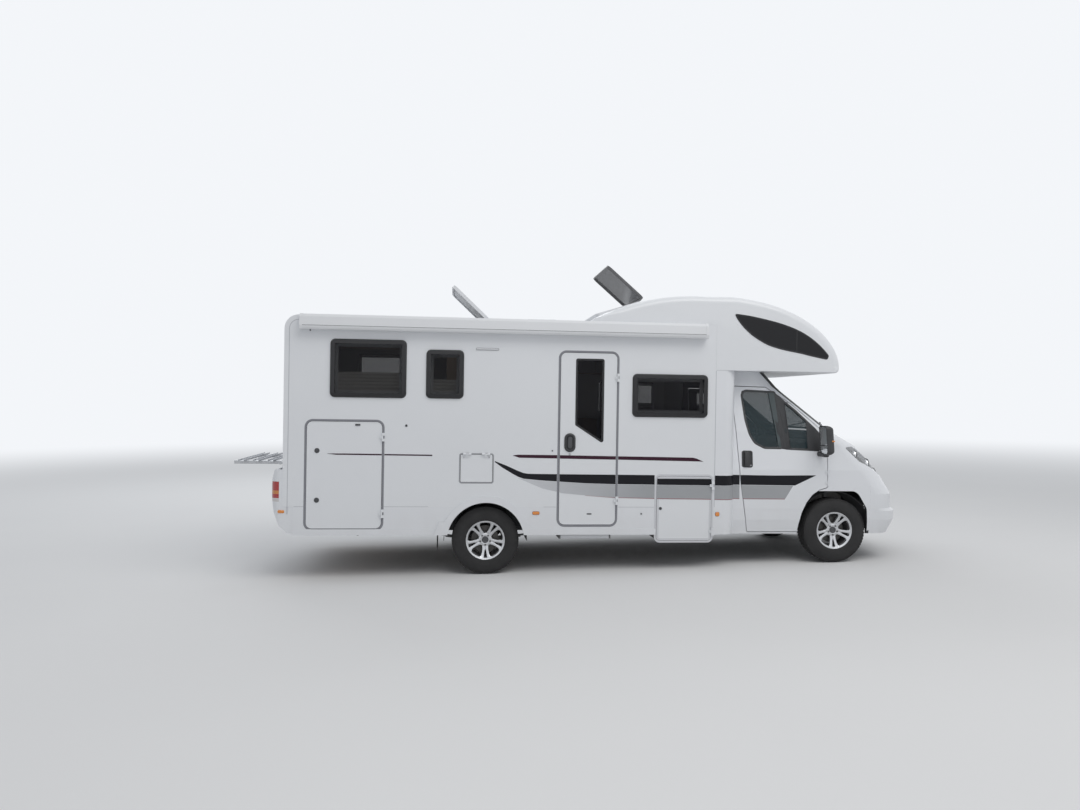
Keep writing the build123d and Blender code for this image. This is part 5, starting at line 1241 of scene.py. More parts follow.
def entry_handle():
    """The oval handle of the entry door: a bezel, a dark cup and the flap that is pulled."""
    face = wall_face(-1, LEAF_PROUD)
    oval = box_loop(-252.0, -128.0, 1326.0, 1532.0, 60.0, 12)
    cup = box_loop(-228.0, -152.0, 1350.0, 1508.0, 36.0, 12)
    bezel = moulding(oval, [(0.0, 0.0), (0.0, 6.0), (-5.0, 12.0), (-14.0, 15.0), (-22.0, 14.0),
                            (-25.0, 8.0), (-25.0, 0.5)], face, ring=True)
    bowl = moulding(oval, [(-23.0, 0.6), (-23.0, 3.0), (-30.0, 1.5)], face)
    flap = moulding(cup, [(-14.0, 3.0), (-14.0, 13.0), (-17.0, 17.0), (-22.0, 18.0)], face)
    key = knob(-190.0, 1303.0, 12.0, face)
    return bezel, bowl, flap, key


LEAF_FACE = wall_face(-1, LEAF_PROUD)
bezel, bowl, flap, key = entry_handle()
make_piece("entry_handle", [bezel, bowl], "black_plastic", body="entry_door")
make_piece("entry_handle_flap", [flap], "dark_plastic", body="entry_door")
make_piece("entry_lock", key, "anodised_tube", body="entry_door")
# Turning locks: name, leaf, slot, face, radius and places (x, z)
LOCKS = [
    ("garage_locks", "garage_door", "dark_plastic", LEAF_FACE, 27.0,
     [(-2901.0, 1318.0), (-2899.0, 791.0)]),
    ("service_locks", "service_hatch", "white_plastic", LEAF_FACE, 11.0,
     [(-1345.0, 1262.0), (-1072.0, 1262.0)]),
    ("locker_lock", "gas_locker_door", "dark_plastic", LEAF_FACE, 17.0, [(836.0, 708.0)]),
    ("toilet_hatch_locks", "toilet_hatch", "white_plastic", wall_face(1, LEAF_PROUD), 13.0,
     [(-790.0, 1078.0), (-460.0, 1078.0)]),
]
for name, leaf, slot, face, radius, places in LOCKS:
    locks = [part for x, z in places for part in knob(x, z, radius, face)]
    make_piece(name, locks, slot, body=leaf)

# %% [markdown]
# The garage door has a catch at its top that meets a button on the wall when it stands open. Amber
# lamps mark the sides, a light strip sits over the middle of each wall, and a few buttons and a
# drain dot the skin.

# %% Catches and lamps of the walls
AMBER = lamp("amber_reflector", (0.62, 0.20, 0.02), 1.0, 260.0)
WHITE_LAMP = lamp("white_lamp", (0.62, 0.63, 0.66), 0.9, 200.0)


def small_lamp(x0, x1, z0, z1, face, proud=9.0):
    """A lamp cover with a soft edge on a dark base; the base is the second shape."""
    radius = min(x1 - x0, z1 - z0) * 0.35
    loop = box_loop(x0, x1, z0, z1, radius)
    cover = moulding(loop, [(0.0, 1.0), (0.0, proud * 0.5), (-radius * 0.3, proud * 0.9),
                            (-radius * 0.8, proud)], face)
    base = moulding(loop, [(2.5, 0.0), (2.5, 2.0), (-2.0, 2.4)], face)
    return cover, base


for side, word in SIDES:
    face = wall_face(side)
    lamps = [small_lamp(-590.0, -515.0, 638.0, 672.0, face),
             small_lamp(1466.0, 1512.0, 622.0, 668.0, surround_face(side))]
    covers, bases = zip(*lamps)
    make_piece("side_markers_" + word, covers, "lamp_clear", finish=AMBER)
    make_piece("side_marker_bases_" + word, bases, "black_plastic")
    strip, strip_base = small_lamp(-1230.0, -985.0, 2426.0, 2444.0, face, 12.0)
    make_piece("light_strip_" + word, [strip], "lamp_clear", finish=WHITE_LAMP)
    make_piece("light_strip_base_" + word, [strip_base], "dark_plastic")
catch = slab((-2505.0, -1162.0, 1588.0), (-2452.0, -1154.0, 1606.0), 3.0)
make_piece("garage_catch", [catch], "black_plastic", body="garage_door")
RIGHT_WALL = wall_face(-1)
buttons = knob(-1967.0, 1594.0, 13.0, RIGHT_WALL) + knob(-382.0, 1338.0, 8.0, RIGHT_WALL)
make_piece("wall_buttons", buttons, "dark_plastic")
small_marks = [moulding(box_loop(8.0, 62.0, 640.0, 654.0, 5.0),
                        [(0.0, 0.0), (0.0, 2.0), (-2.0, 3.0)], LEAF_FACE)]
make_piece("entry_drain", small_marks, "dark_plastic", body="entry_door")
make_piece("skirt_button", knob(621.0, 648.0, 9.0, RIGHT_WALL), "dark_plastic")

# %% [markdown]
# The entry door's window is a slanted pane. It gets a black printed edge like the others, and the
# edge rides with the door.

# %% Pane of the entry door
ENTRY_LOOP = soft_loop([(-130.0, 2350.0, 18.0), (178.0, 2350.0, 18.0), (178.0, 1427.0, 18.0),
                        (-130.0, 1625.0, 18.0)])
entry_edge = moulding(ENTRY_LOOP, [(5.0, -2.0), (5.0, 1.2), (2.0, 3.4), (-16.0, 3.0),
                                   (-18.0, 1.0), (-18.0, -2.0)], LEAF_FACE, ring=True)
make_piece("entry_pane_edge", [entry_edge], "black_plastic", finish=BORDER_PRINT, body="entry_door")

# %% [markdown]
# The cab's door has a rectangular black handle in a shallow cup, a dark divider between its two
# panes and a dark corner where the mirror is fixed. Round the glass runs a black rubber channel.
# All of it lies on the cab's side, which leans inwards as it rises.

# %% Trim of the cab doors
REAR_QUARTER = [(1832.0, 2040.0, 60.0), (2236.0, 2025.0, 20.0), (2300.0, 1382.0, 20.0),
                (2090.0, 1384.0, 90.0), (1975.0, 1440.0, 120.0), (1915.0, 1540.0, 200.0),
                (1872.0, 1700.0, 300.0)]
FRONT_QUARTER = [(2238.0, 1998.0, 20.0), (2470.0, 1815.0, 300.0), (2700.0, 1602.0, 30.0),
                 (2738.0, 1548.0, 15.0), (2745.0, 1362.0, 15.0), (2338.0, 1378.0, 20.0)]
QUARTER_EDGE = pane("quarter_glass_edge", (0.060, 0.078, 0.082), 1.0, gloss=0.5)


def dense(loop, longest=60.0):
    """The outline with points added, so that it can follow a bent face."""
    result = []
    for (u0, v0), (u1, v1) in zip(loop, loop[1:] + loop[:1]):
        count = max(1, math.ceil(math.dist((u0, v0), (u1, v1)) / longest))
        result += [(u0 + (u1 - u0) * step / count, v0 + (v1 - v0) * step / count)
                   for step in range(count)]
    return result


def bent(corners, section, face, ring=False):
    """A moulding on a bent face, from the corners of its outline."""
    return moulding(dense(soft_loop(corners)), section, face, ring)


for side, word in SIDES:
    door, face = word + "_cab_door", cab_face(side)
    channels = [bent(corners, [(13.0, -1.0), (13.0, 1.0), (8.0, 3.2), (-7.0, 2.8), (-11.0, 0.2),
                               (-11.0, -1.0)], face, ring=True)
                for corners in (REAR_QUARTER, FRONT_QUARTER)]
    channels.append(bent([(2232.0, 2020.0, 6.0), (2258.0, 2002.0, 6.0), (2343.0, 1934.0, 10.0),
                          (2402.0, 1364.0, 6.0), (2298.0, 1372.0, 6.0)],
                         [(0.0, -1.0), (0.0, 2.2), (-3.0, 3.6)], face))
    strip = bent([(2158.0, 2027.0, 2.0), (2238.0, 2022.0, 6.0), (2302.0, 1384.0, 6.0),
                  (2258.0, 1386.0, 2.0)], [(0.0, -1.0), (0.0, 0.8), (-1.5, 1.4)], face)
    make_piece("quarter_glass_edge_" + word, [strip], "cab_glass", finish=QUARTER_EDGE, body=door)
    channels.append(bent([(2592.0, 1708.0, 10.0), (2706.0, 1606.0, 20.0), (2772.0, 1546.0, 14.0),
                          (2776.0, 1358.0, 14.0), (2606.0, 1362.0, 10.0)],
                         [(0.0, -1.0), (0.0, 2.4), (-3.0, 3.8)], face))
    make_piece("door_channels_" + word, channels, "black_plastic", body=door)
    cup = bent([(1818.0, 1352.0, 26.0), (1946.0, 1350.0, 26.0), (1946.0, 1158.0, 26.0),
                (1818.0, 1160.0, 26.0)], [(0.0, 0.0), (0.0, 4.0), (-4.0, 7.0), (-14.0, 7.0),
                                          (-20.0, 2.0), (-30.0, 1.0)], face)
    bar = bent([(1846.0, 1338.0, 12.0), (1904.0, 1338.0, 12.0), (1904.0, 1172.0, 12.0),
                (1846.0, 1172.0, 12.0)], [(0.0, 0.5), (0.0, 16.0), (-5.0, 22.0), (-10.0, 23.0)],
               face)
    make_piece("door_handle_" + word, [cup, bar], "black_plastic", body=door)
    lock = knob(1925.0, 1183.0, 9.0, face)
    make_piece("door_lock_" + word, lock, "anodised_tube", body=door)

# %% [markdown]
# The front of the cab is curved in every direction, so its trim is not drawn by measure: a probe is
# sent at the panel from outside, as a finger would touch it, and the trim sits where it lands.
# The lamps are clear covers; behind each lie three bright bowls in black bezels, with a bulb.

# %% Probing a curved panel
PROBE_X = 4200.0  # from here, well ahead of the nose, probes are sent backwards


def row_direction(x, y, z):
    """A direction in the body, turned to the scene."""
    return (row(x, y, z) - row(0, 0, 0)).normalized()


def touch(node, x, y, z, aim=(-1.0, 0.0, 0.0)):
    """Where a probe from (x, y, z), sent along aim, first meets a solid; body millimetres."""
    hit, spot, _, _ = NODES[node].ray_cast(row(x, y, z), row_direction(*aim))
    if not hit:
        return None
    point = spot * 1000.0
    return Vector((point.x * math.cos(RAKE) - point.z * math.sin(RAKE), point.y,
                   point.z * math.cos(RAKE) + point.x * math.sin(RAKE)))


# %% Headlamps
CHROME = metal("bright_bowl", (0.90, 0.91, 0.93), 0.12, 0.85)
BULB_GLASS = lamp("bulb_glass", (0.85, 0.86, 0.88), 0.85, 40.0)
# Bowls of a lamp: y, z, radius and distance behind the cover
LAMP_SPOTS = [(735.0, 1085.0, 52.0, 22.0), (850.0, 1195.0, 58.0, 26.0),
              (925.0, 1312.0, 40.0, 22.0)]


def bowl(x, y, z, radius):
    """A bright bowl that opens forward, its bezel and its bulb."""
    place = lambda a, b, c: row(x + b, y + a, z + c)
    dish = turned([(0.0, radius), (-12.0, radius * 0.94), (-30.0, radius * 0.72),
                   (-44.0, radius * 0.40), (-48.0, radius * 0.16), (-51.0, radius * 0.16),
                   (-47.0, radius * 0.44), (-33.0, radius * 0.77), (-14.0, radius * 0.99),
                   (1.5, radius * 1.06), (2.0, radius * 1.02)], place, 36)
    bezel = turned([(2.0, radius * 1.03), (4.0, radius * 1.10), (2.0, radius * 1.18),
                    (-6.0, radius * 1.20), (-6.0, radius * 1.10)], place, 36)
    bulb = turned([(-46.0, 0.1), (-46.0, 6.5), (-24.0, 7.0), (-17.0, 5.0), (-14.0, 0.1)],
                  place, 16)
    return dish, bezel, bulb


for side, word in SIDES:
    bowls = []
    for y, z, radius, back in LAMP_SPOTS:
        spot = touch("headlamps", PROBE_X, side * y, z)
        if spot:
            bowls.append(bowl(spot.x - back - radius * 0.55, side * y, z, radius))
    dishes, bezels, bulbs = zip(*bowls)
    make_piece("lamp_bowls_" + word, dishes, "lamp_clear", finish=CHROME, crease=50)
    make_piece("lamp_bezels_" + word, bezels, "black_plastic", crease=50)
    make_piece("lamp_bulbs_" + word, bulbs, "lamp_clear", finish=BULB_GLASS, crease=50)
print("lamp bowls", len(dishes))

# %% [markdown]
# Air goes in between slats, and a mesh behind them keeps leaves out. The mesh is a field of small
# six-sided holes that follows the nose. Geometry Nodes lay the cells on a grid, because there are
# hundreds; a bent surface then takes them to the nose's curve.

# %% Mesh behind the grille


def cells_in_grid(finish):
    """Small copies of a shape in staggered rows, in the plane of x and y."""
    works = Works("cells_in_grid", {"Shape": "NodeSocketObject", "Across": "NodeSocketInt",
                                    "Rows": "NodeSocketInt", "Pitch": "NodeSocketFloat",
                                    "Rise": "NodeSocketFloat"})
    pitch, rise = works.take("Pitch"), works.take("Rise")
    grid = works.node("GeometryNodeMeshGrid", {}, {
        "Vertices X": works.take("Across"), "Vertices Y": works.take("Rows"),
        "Size X": (works.take("Across") - 1.0) * pitch,
        "Size Y": (works.take("Rows") - 1.0) * rise})
    spot = works.node("GeometryNodeInputPosition", {}, {})
    height = works.node("ShaderNodeSeparateXYZ", {}, {"Vector": spot}, "Y")
    line = works.node("ShaderNodeMath", {"operation": "DIVIDE"}, {0: height, 1: rise})
    odd = works.node("ShaderNodeMath", {"operation": "PINGPONG"}, {0: line, 1: 1.0})
    shift = works.node("ShaderNodeCombineXYZ", {}, {"X": (odd - 0.5) * pitch * 0.5})
    staggered = works.node("GeometryNodeSetPosition", {}, {"Geometry": grid, "Offset": shift})
    shape = works.node("GeometryNodeObjectInfo", {}, {"Object": works.take("Shape")}, "Geometry")
    copies = works.node("GeometryNodeInstanceOnPoints", {},
                        {"Points": staggered, "Instance": shape})
    works.close(copies, finish)
    return works


def cell_ring(radius, wall, depth):
    """A six-sided ring, the frame of one hole."""
    points = []
    for reach, z in ((radius, 0.0), (radius, depth), (radius - wall, depth),
                     (radius - wall, 0.0)):
        points += [(reach * math.sin(math.tau * k / 6), reach * math.cos(math.tau * k / 6), z)
                   for k in range(6)]
    return points, tube_faces(4, 6, True)


# The nose in plan: height, x where side and front meet, x of the nose
NOSE = [(400.0, 3600.0, 3800.0), (560.0, 3684.0, 3884.0), (660.0, 3684.0, 3884.0),
        (692.0, 3644.0, 3846.0), (857.0, 3636.0, 3840.0), (1133.0, 3450.0, 3680.0)]


def nose_x(y, z):
    """x of the nose's arc at a height, from the cab's sections."""
    corner = level([(height, corner_x) for height, corner_x, _ in NOSE], z)
    nose = level([(height, front_x) for height, _, front_x in NOSE], z)
    half = level(CAB_HALVES, z)
    sagitta = nose - corner
    radius = (half ** 2 + sagitta ** 2) / (2 * sagitta)
    return nose - radius + math.sqrt(max(radius ** 2 - y ** 2, 0.0))


GRID_WORKS = cells_in_grid(FINISHES["black_plastic"])
cell = template("mesh_cell", cell_ring(11.5, 1.6, 3.0))
lattices = []
for half, low, high in ((640.0, 470.0, 640.0), (520.0, 715.0, 820.0)):
    across, lines = int(2 * half / 20.0), int((high - low) / 17.3) + 1
    copies = GRID_WORKS.run(Shape=cell, Across=across, Rows=lines, Pitch=20.0, Rise=17.3)
    middle = (low + high) / 2
    lattices.append(moved(copies, lambda a, b, c, middle=middle:
                          row(nose_x(a, middle + b) - 52.0 + c, a, middle + b)))
bpy.data.objects.remove(cell)
make_piece("grille_mesh", lattices, "black_plastic")
print("grille cells", sum(len(part[1]) for part in lattices) // 24)


def nose_skin(y, z):
    """x of whichever panel of the nose a probe meets first."""
    met = [touch(node, PROBE_X, y, z) for node in ("front_bumper", "bonnet", "cab_body")]
    return max(spot.x for spot in met if spot)


bars = []
for z in (1040.0, 1062.0, 1084.0):
    points = []
    for step in range(21):
        y = 492.0 * (step / 10.0 - 1.0)
        low, high = nose_skin(y, 1004.0), nose_skin(y, 1120.0)
        points.append(row(low + (high - low) * (z - 1004.0) / 116.0 - 24.0, y, z))
    bars.append(bar_along(points, 0.0042, 6))
make_piece("upper_slats", bars, "black_plastic")

# %% [markdown]
# Behind the grille stands the radiator, a flat dark pack with upright tanks at its ends, and each
# front wheel's liner reaches from its box out to the wing. Without the two, daylight would show
# through the nose.

# %% Radiator and wheel liners
pack = [slab((3476.0, -520.0, 470.0), (3520.0, 520.0, 1098.0), 12.0)]
pack += [side_slab(side, (3466.0, 3528.0), (515.0, 548.0), (480.0, 1084.0), 14.0)
         for side in (-1, 1)]
fins = [slab((3519.0, -500.0, 500.0 + 26.0 * step), (3524.0, 500.0, 512.0 + 26.0 * step), 2.0)
        for step in range(22)]
make_piece("radiator", pack + fins, "black_plastic")
arch_x = 1000.0 * (WHEEL_X * math.cos(RAKE) - WHEEL_Z * math.sin(RAKE))
arch_z = 1000.0 * (WHEEL_Z * math.cos(RAKE) + WHEEL_X * math.sin(RAKE))
for side, word in SIDES:
    rings = []
    for y, wall in ((896.0, 0.0), (980.0, 0.0), (980.0, 3.0), (896.0, 3.0)):
        for step in range(41):
            angle, reach = math.radians(-4.0 + 188.0 * step / 40), 1000.0 * WELL + wall
            rings.append(row(arch_x + reach * math.cos(angle), side * y,
                             arch_z + reach * math.sin(angle)))
    lines = [[ring * 41 + step for ring in range(4)] for step in range(41)]
    faces = [(lines[a][b], lines[a][(b + 1) % 4], lines[a + 1][(b + 1) % 4], lines[a + 1][b])
             for a in range(40) for b in range(4)] + [tuple(lines[0]), tuple(lines[40][::-1])]
    make_piece("front_liner_" + word, [(rings, faces)], "black_plastic", crease=40)

# %% [markdown]
# Each number plate is a blank white sheet with a pressed rim on a black carrier. The plates at
# both ends carry no characters.

# %% Blank number plates
PLATE_WHITE = white("plate_white", (0.78, 0.78, 0.77), 0.30, 0.3, 0.0, 0.5)


def plate(face, v, name):
    """Carrier and sheet, about 520 by 110 mm, centred on the body and at height v."""
    loop = box_loop(-262.0, 262.0, v - 58.0, v + 58.0, 8.0)
    carrier = moulding(loop, [(0.0, 1.0), (0.0, 8.0), (-2.0, 10.0)], face)
    sheet = moulding(loop, [(-4.0, 10.2), (-4.0, 12.0), (-6.0, 12.8), (-9.0, 12.8),
                            (-10.0, 12.0)], face)
    make_piece(name + "_carrier", [carrier], "black_plastic")
    make_piece(name, [sheet], "white_plastic", finish=PLATE_WHITE)


plate(lambda y, z, out: row(nose_x(0.0, 675.0) + out - 2.0, y, z), 672.0, "front_plate")

# %% [markdown]
# Two wipers rest along the foot of the windscreen. Each is an arm from a capped pivot, and a slim
# blade on the glass. The probe finds the glass under every point of the blade, so that it lies on
# the curve.

# %% Wipers


def on_screen(y, z, out):
    """A point on the windscreen, or on the cowl below it, lifted along the nose direction."""
    spot = None
    for node in ("windscreen", "cab_body"):
        found = touch(node, PROBE_X, y, z)
        if found and (spot is None or found.x > spot.x):
            spot = found
    return row(spot.x + out * 0.72, y, spot.z + out * 0.72)


for name, pivot, tip in (("wiper_driver", (560.0, 1592.0), (-20.0, 1668.0)),
                         ("wiper_passenger", (-60.0, 1592.0), (-620.0, 1664.0))):
    spots = [(pivot[0] + (tip[0] - pivot[0]) * t, pivot[1] + (tip[1] - pivot[1]) * t)
             for t in (0.0, 0.08, 0.2, 0.35, 0.5, 0.62)]
    arm = bar_along([on_screen(y, z, out) for (y, z), out in
                     zip(spots, (6.0, 20.0, 24.0, 23.0, 20.0, 15.0))], 0.0055, 8)
    reach = [(pivot[0] + (tip[0] - pivot[0]) * t, pivot[1] + 8.0 + (tip[1] - pivot[1]) * t)
             for t in [0.12 + 0.88 * step / 14 for step in range(15)]]
    rail = bar_along([on_screen(y, z, 11.0) for y, z in reach], 0.0045, 6)
    lip = bar_along([on_screen(y, z, 4.5) for y, z in reach], 0.0035, 4)
    foot = on_screen(*pivot, 0.0)
    normal = row_direction(0.7, 0.0, 0.7)
    across = normal.cross(Vector((0, 1, 0))).normalized()
    cap_place = lambda a, b, c: foot + (normal * b + across * a + Vector((0, 1, 0)) * c) / 1000.0
    cap = turned([(-4.0, 0.1), (-4.0, 15.0), (12.0, 14.0), (17.0, 10.0), (18.0, 0.1)],
                 cap_place, 20)
    make_piece(name, [arm, rail, lip, cap], "black_plastic", crease=40)

# %% [markdown]
# The mirrors hang outside the front quarter pane, each on a short arm at its foot. A housing is a
# dark shell that narrows to the front and leans a little; its glass faces backwards in two parts,
# tall above and wide-angle below, and a winker sits in its outer edge.

# %% Mirrors
MIRROR_SILVER = metal("mirror_silver", (0.88, 0.90, 0.92), 0.10, 0.7)
MIRROR_LOOP = soft_loop([(1074.0, 1322.0, 50.0), (1268.0, 1314.0, 60.0), (1272.0, 1652.0, 46.0),
                         (1082.0, 1650.0, 40.0)], 9)


def mirror_face(side):
    """Maps (y, z, out) to the mirror's rear plane, out towards the tail."""
    return lambda y, z, out: row(2694.0 + (1650.0 - z) * 0.083 - out, side * y, z)


for side, word in SIDES:
    face, body = mirror_face(side), word + "_cab_door"
    shell = moulding(MIRROR_LOOP, [(-64.0, -100.0), (-42.0, -97.0), (-22.0, -86.0), (-8.0, -64.0),
                                   (-1.0, -34.0), (0.0, -6.0), (-1.5, 2.0), (-6.0, 4.0),
                                   (-11.0, 3.0), (-13.0, -4.0)], face)
    arm = side_slab(side, (2716.0, 2790.0), (990.0, 1160.0), (1292.0, 1350.0), 20.0)
    housing = make_piece("mirror_housing_" + word, [shell, arm], "black_plastic", body=body,
                         crease=40)
    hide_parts("mirror_" + word)
    glass = [moulding(soft_loop(corners), [(0.0, -5.0), (0.0, -1.0), (-1.5, -0.4)], face)
             for corners in ([(1092.0, 1432.0, 8.0), (1256.0, 1432.0, 8.0), (1258.0, 1638.0, 34.0),
                              (1098.0, 1636.0, 28.0)],
                             [(1090.0, 1338.0, 38.0), (1254.0, 1330.0, 46.0),
                              (1256.0, 1422.0, 8.0), (1092.0, 1422.0, 8.0)])]
    make_piece("mirror_glass_" + word, glass, "alloy", finish=MIRROR_SILVER, body=body)
    winker = moulding(box_loop(1250.0, 1266.0, 1470.0, 1486.0, 5.0),
                      [(-2.0, -92.0), (0.0, -88.0), (0.0, -62.0), (-2.0, -58.0)], face)
    make_piece("mirror_winker_" + word, [winker], "lamp_clear", finish=AMBER, body=body)

# %% [markdown]
# The tail's lamps are curved red covers with an amber band and a clear part low down. The colours
# are bands by height in one material, over the flutes of the lamp plastic. Near the roof are
# small marker lamps at the corners and a third stop lamp, and the bumper's ends have reflectors.

# %% Tail lamps and markers
TAIL = Recipe("tail_lamp_plastic")
tail_height = TAIL.axis("Z")
flutes = TAIL.node("ShaderNodeTexWave", {"bands_direction": "Z"},
                   {"Vector": TAIL.place, "Scale": 95.0, "Distortion": 0.3})
red_zone = TAIL.mix(flutes, (0.34, 0.010, 0.014), (0.50, 0.03, 0.03))
amber_zone = TAIL.mix(flutes, (0.55, 0.17, 0.03), (0.70, 0.28, 0.06))
clear_zone = TAIL.mix(flutes, (0.55, 0.52, 0.52), (0.75, 0.73, 0.72))
tail_shade = TAIL.mix((tail_height > 0.925) * (tail_height < 0.962), red_zone, amber_zone)
tail_shade = TAIL.mix((tail_height < 0.882), tail_shade, clear_zone)
NODES["tail_lamps"].material_slots[0].material = TAIL.surface(
    Base_Color=tail_shade, Roughness=0.10, Coat_Weight=1.0, Coat_Roughness=0.03,
    Normal=TAIL.bump(flutes, 0.0006, 0.4))
RED_LAMP = lamp("red_marker", (0.50, 0.02, 0.02), 1.0, 220.0)
reds, bases = zip(*[small_lamp(*spot, tail_face, 12.0) for spot in (
    (-170.0, 170.0, 2640.0, 2668.0), (-1096.0, -1050.0, 2600.0, 2624.0),
    (1050.0, 1096.0, 2600.0, 2624.0))])
make_piece("rear_marker_lamps", reds, "lamp_red", finish=RED_LAMP)
make_piece("rear_marker_bases", bases, "white_plastic")
orange = [small_lamp(-3300.0, -3232.0, 652.0, 684.0, lambda x, z, out, s=s:
                     row(x, s * (1146.5 + out), z), 6.0)[0] for s in (-1, 1)]
make_piece("bumper_reflectors", orange, "lamp_clear", finish=AMBER)

# %% [markdown]
# The awning is rolled up in a long box. Its front rail closes the slot that the cloth comes out of,
# so the box gets a lead rail with a thin dark joint above it, and a small eye for the crank. Light
# joint lines like these are what makes a long plain box look real.

# %% Awning rail and crank eye
AWNING_REAR, AWNING_FRONT = -3056.0, 1300.0


def along_box(y0, z0, y1, z1, x0, x1, lift):
    """A thin strip between two points of the box's section, run along the vehicle."""
    across = Vector((y1 - y0, z1 - z0)).normalized()
    normal = Vector((across.y, -across.x))
    if normal.x > 0:
        normal = -normal
    ring = [(y0, z0), (y0 + normal.x * lift, z0 + normal.y * lift),
            (y1 + normal.x * lift, z1 + normal.y * lift), (y1, z1)]
    return [row(x, y, z) for x in (x0, x1) for y, z in ring], tube_faces(2, 4, False)


rail = along_box(-1249.0, 2617.0, -1254.0, 2637.5, AWNING_REAR + 4.0, AWNING_FRONT - 4.0, 1.8)
lower = along_box(-1242.0, 2604.6, -1248.6, 2615.5, AWNING_REAR + 4.0, AWNING_FRONT - 4.0, 1.4)
make_piece("awning_lead_rail", [rail, lower], "awning_white")
joint = along_box(-1254.2, 2640.0, -1253.6, 2644.0, AWNING_REAR, AWNING_FRONT, 0.6)
make_piece("awning_joint", [joint], "dark_plastic")
eye_place = lambda a, b, c: row(-2980.0 + a, -1200.0 + c, 2592.0 + b)
eye = turned([(9.0, 4.0), (6.0, 7.0), (-6.0, 7.0), (-9.0, 4.0), (-6.0, 2.5), (6.0, 2.5)],
             eye_place, 18)
make_piece("awning_crank_eye", [eye], "dark_plastic")

# %% [markdown]
# Seams in pale grey sealant mark both ends of the side wall, and more lines of it run above
# the skirts. They are thin, but without them the sides would look like one lump.

# %% Seams of the body
SEALANT = white("joint_sealant", (0.52, 0.53, 0.56), 0.5, 0.0, 0.0, 0.2)


def seam(points, width, face, lift=0.7):
    """A thin strip along a line on a face."""
    ring_points = []
    for index, (u, v) in enumerate(points):
        ahead = points[min(index + 1, len(points) - 1)]
        back = points[max(index - 1, 0)]
        run = Vector((ahead[0] - back[0], ahead[1] - back[1])).normalized()
        side_u, side_v = -run.y * width / 2, run.x * width / 2
        ring_points += [face(u - side_u, v - side_v, -0.4), face(u - side_u, v - side_v, lift),
                        face(u + side_u, v + side_v, lift), face(u + side_u, v + side_v, -0.4)]
    return ring_points, tube_faces(len(points), 4, False)


for side, word in SIDES:
    face = wall_face(side)
    seams = [seam([(SEAM_X, 724.0), (SEAM_X, 2250.0)], 7.0, face),
             seam([(SEAM_X + 4.0, 2256.0), (1900.0, 2256.0)], 4.0, face)]
    foot = seam([(REAR_X + 120.0, 722.0), (-1720.0, 722.0)], 5.0, face)
    corner = [(REAR_X + 150.0 - 98.0 * math.sin(math.radians(90.0 - angle)),
               2610.0 + 98.0 * math.cos(math.radians(90.0 - angle)))
              for angle in range(0, 91, 10)]
    seams.append(seam([(REAR_X + 52.0, 640.0), *corner, (-3092.0, 2708.0)], 7.0, face))
    ahead = seam([(-470.0, 722.0), (-330.0, 722.0)], 5.0, face)
    front_foot = seam([(356.0, 722.0), (764.0, 722.0)], 5.0, face)
    make_piece("wall_seams_" + word, seams + [foot, ahead, front_foot], "white_plastic",
               finish=SEALANT)

# %% [markdown]
# On the left wall are the fridge's two vents, a round water filler, the mains inlet and the flap
# of the fuel filler, as is usual on this type. The vents are cut in the solid wall; their frames
# are trim. The water filler is a turning cap, made like the locks.

# %% Left wall: vent frames, fillers and inlet
left_face = wall_face(1)
vent_frames = [moulding(box_loop(-1512.0, -1008.0, z - 132.0, z + 132.0, 14.0),
                        [(0.0, 0.0), (0.0, 3.0), (-3.0, 5.0), (-16.0, 4.0), (-18.0, 0.0)],
                        left_face, ring=True) for z in (1080.0, 1620.0)]
make_piece("vent_frames", vent_frames, "white_plastic")
fillers = knob(-1960.0, 1060.0, 58.0, left_face)
make_piece("water_filler", fillers, "white_plastic")
inlet = [moulding(box_loop(-2320.0, -2200.0, 880.0, 1010.0, 12.0),
                  [(0.0, 0.0), (0.0, 6.0), (-6.0, 9.0)], left_face),
         moulding(box_loop(-2304.0, -2216.0, 894.0, 974.0, 8.0),
                  [(0.0, 9.0), (-1.0, 11.0), (-4.0, 12.0)], left_face)]
make_piece("mains_inlet", inlet, "white_plastic")
flap = moulding(box_loop(1180.0, 1330.0, 560.0, 700.0, 16.0),
                [(0.0, 0.0), (0.0, 1.6), (-3.0, 2.2)], left_face)
rim = moulding(box_loop(1174.0, 1336.0, 554.0, 706.0, 20.0),
               [(0.0, 0.0), (0.0, 0.8), (-3.5, 0.8), (-3.5, 0.0)], left_face, ring=True)
make_piece("fuel_flap", [flap], "white_panel")
make_piece("fuel_flap_gap", [rim], "black_plastic", finish=SEAL)

# %% [markdown]
# Under the rear end are a tail pipe and mud flaps behind the wheels. The pipe is a bent bar with a
# dark steel finish, and the flaps are ribbed rubber sheets.

# %% Tail pipe and mud flaps
PIPE = metal("exhaust_steel", (0.22, 0.20, 0.18), 0.5, 0.8, dirt=0.6)
route = [(-2060.0, -610.0, 520.0), (-2140.0, -640.0, 500.0), (-2300.0, -690.0, 455.0),
         (-2420.0, -760.0, 425.0), (-2470.0, -880.0, 415.0), (-2480.0, -1010.0, 412.0)]
pipe = bar_along([row(*point) for point in route], 0.024, 16)
make_piece("tail_pipe", [pipe], "grey_steel", finish=PIPE, crease=40)
flaps = []
for side in (-1, 1):
    y0, y1 = sorted((side * 880.0, side * 1105.0))
    flaps.append(slab((-1622.0, y0, 250.0), (-1614.0, y1, 480.0), 3.0))
    for step in range(6):
        rib_y = y0 + 20.0 + step * 37.0
        flaps.append(slab((-1625.0, rib_y, 270.0), (-1621.5, rib_y + 8.0, 450.0), 1.0))
make_piece("mud_flaps", flaps, "tyre")

# %% [markdown]
# The retracted step has a black tread of raised ribs on its board. Ribs repeat evenly,
# so the grid tree lays them too.

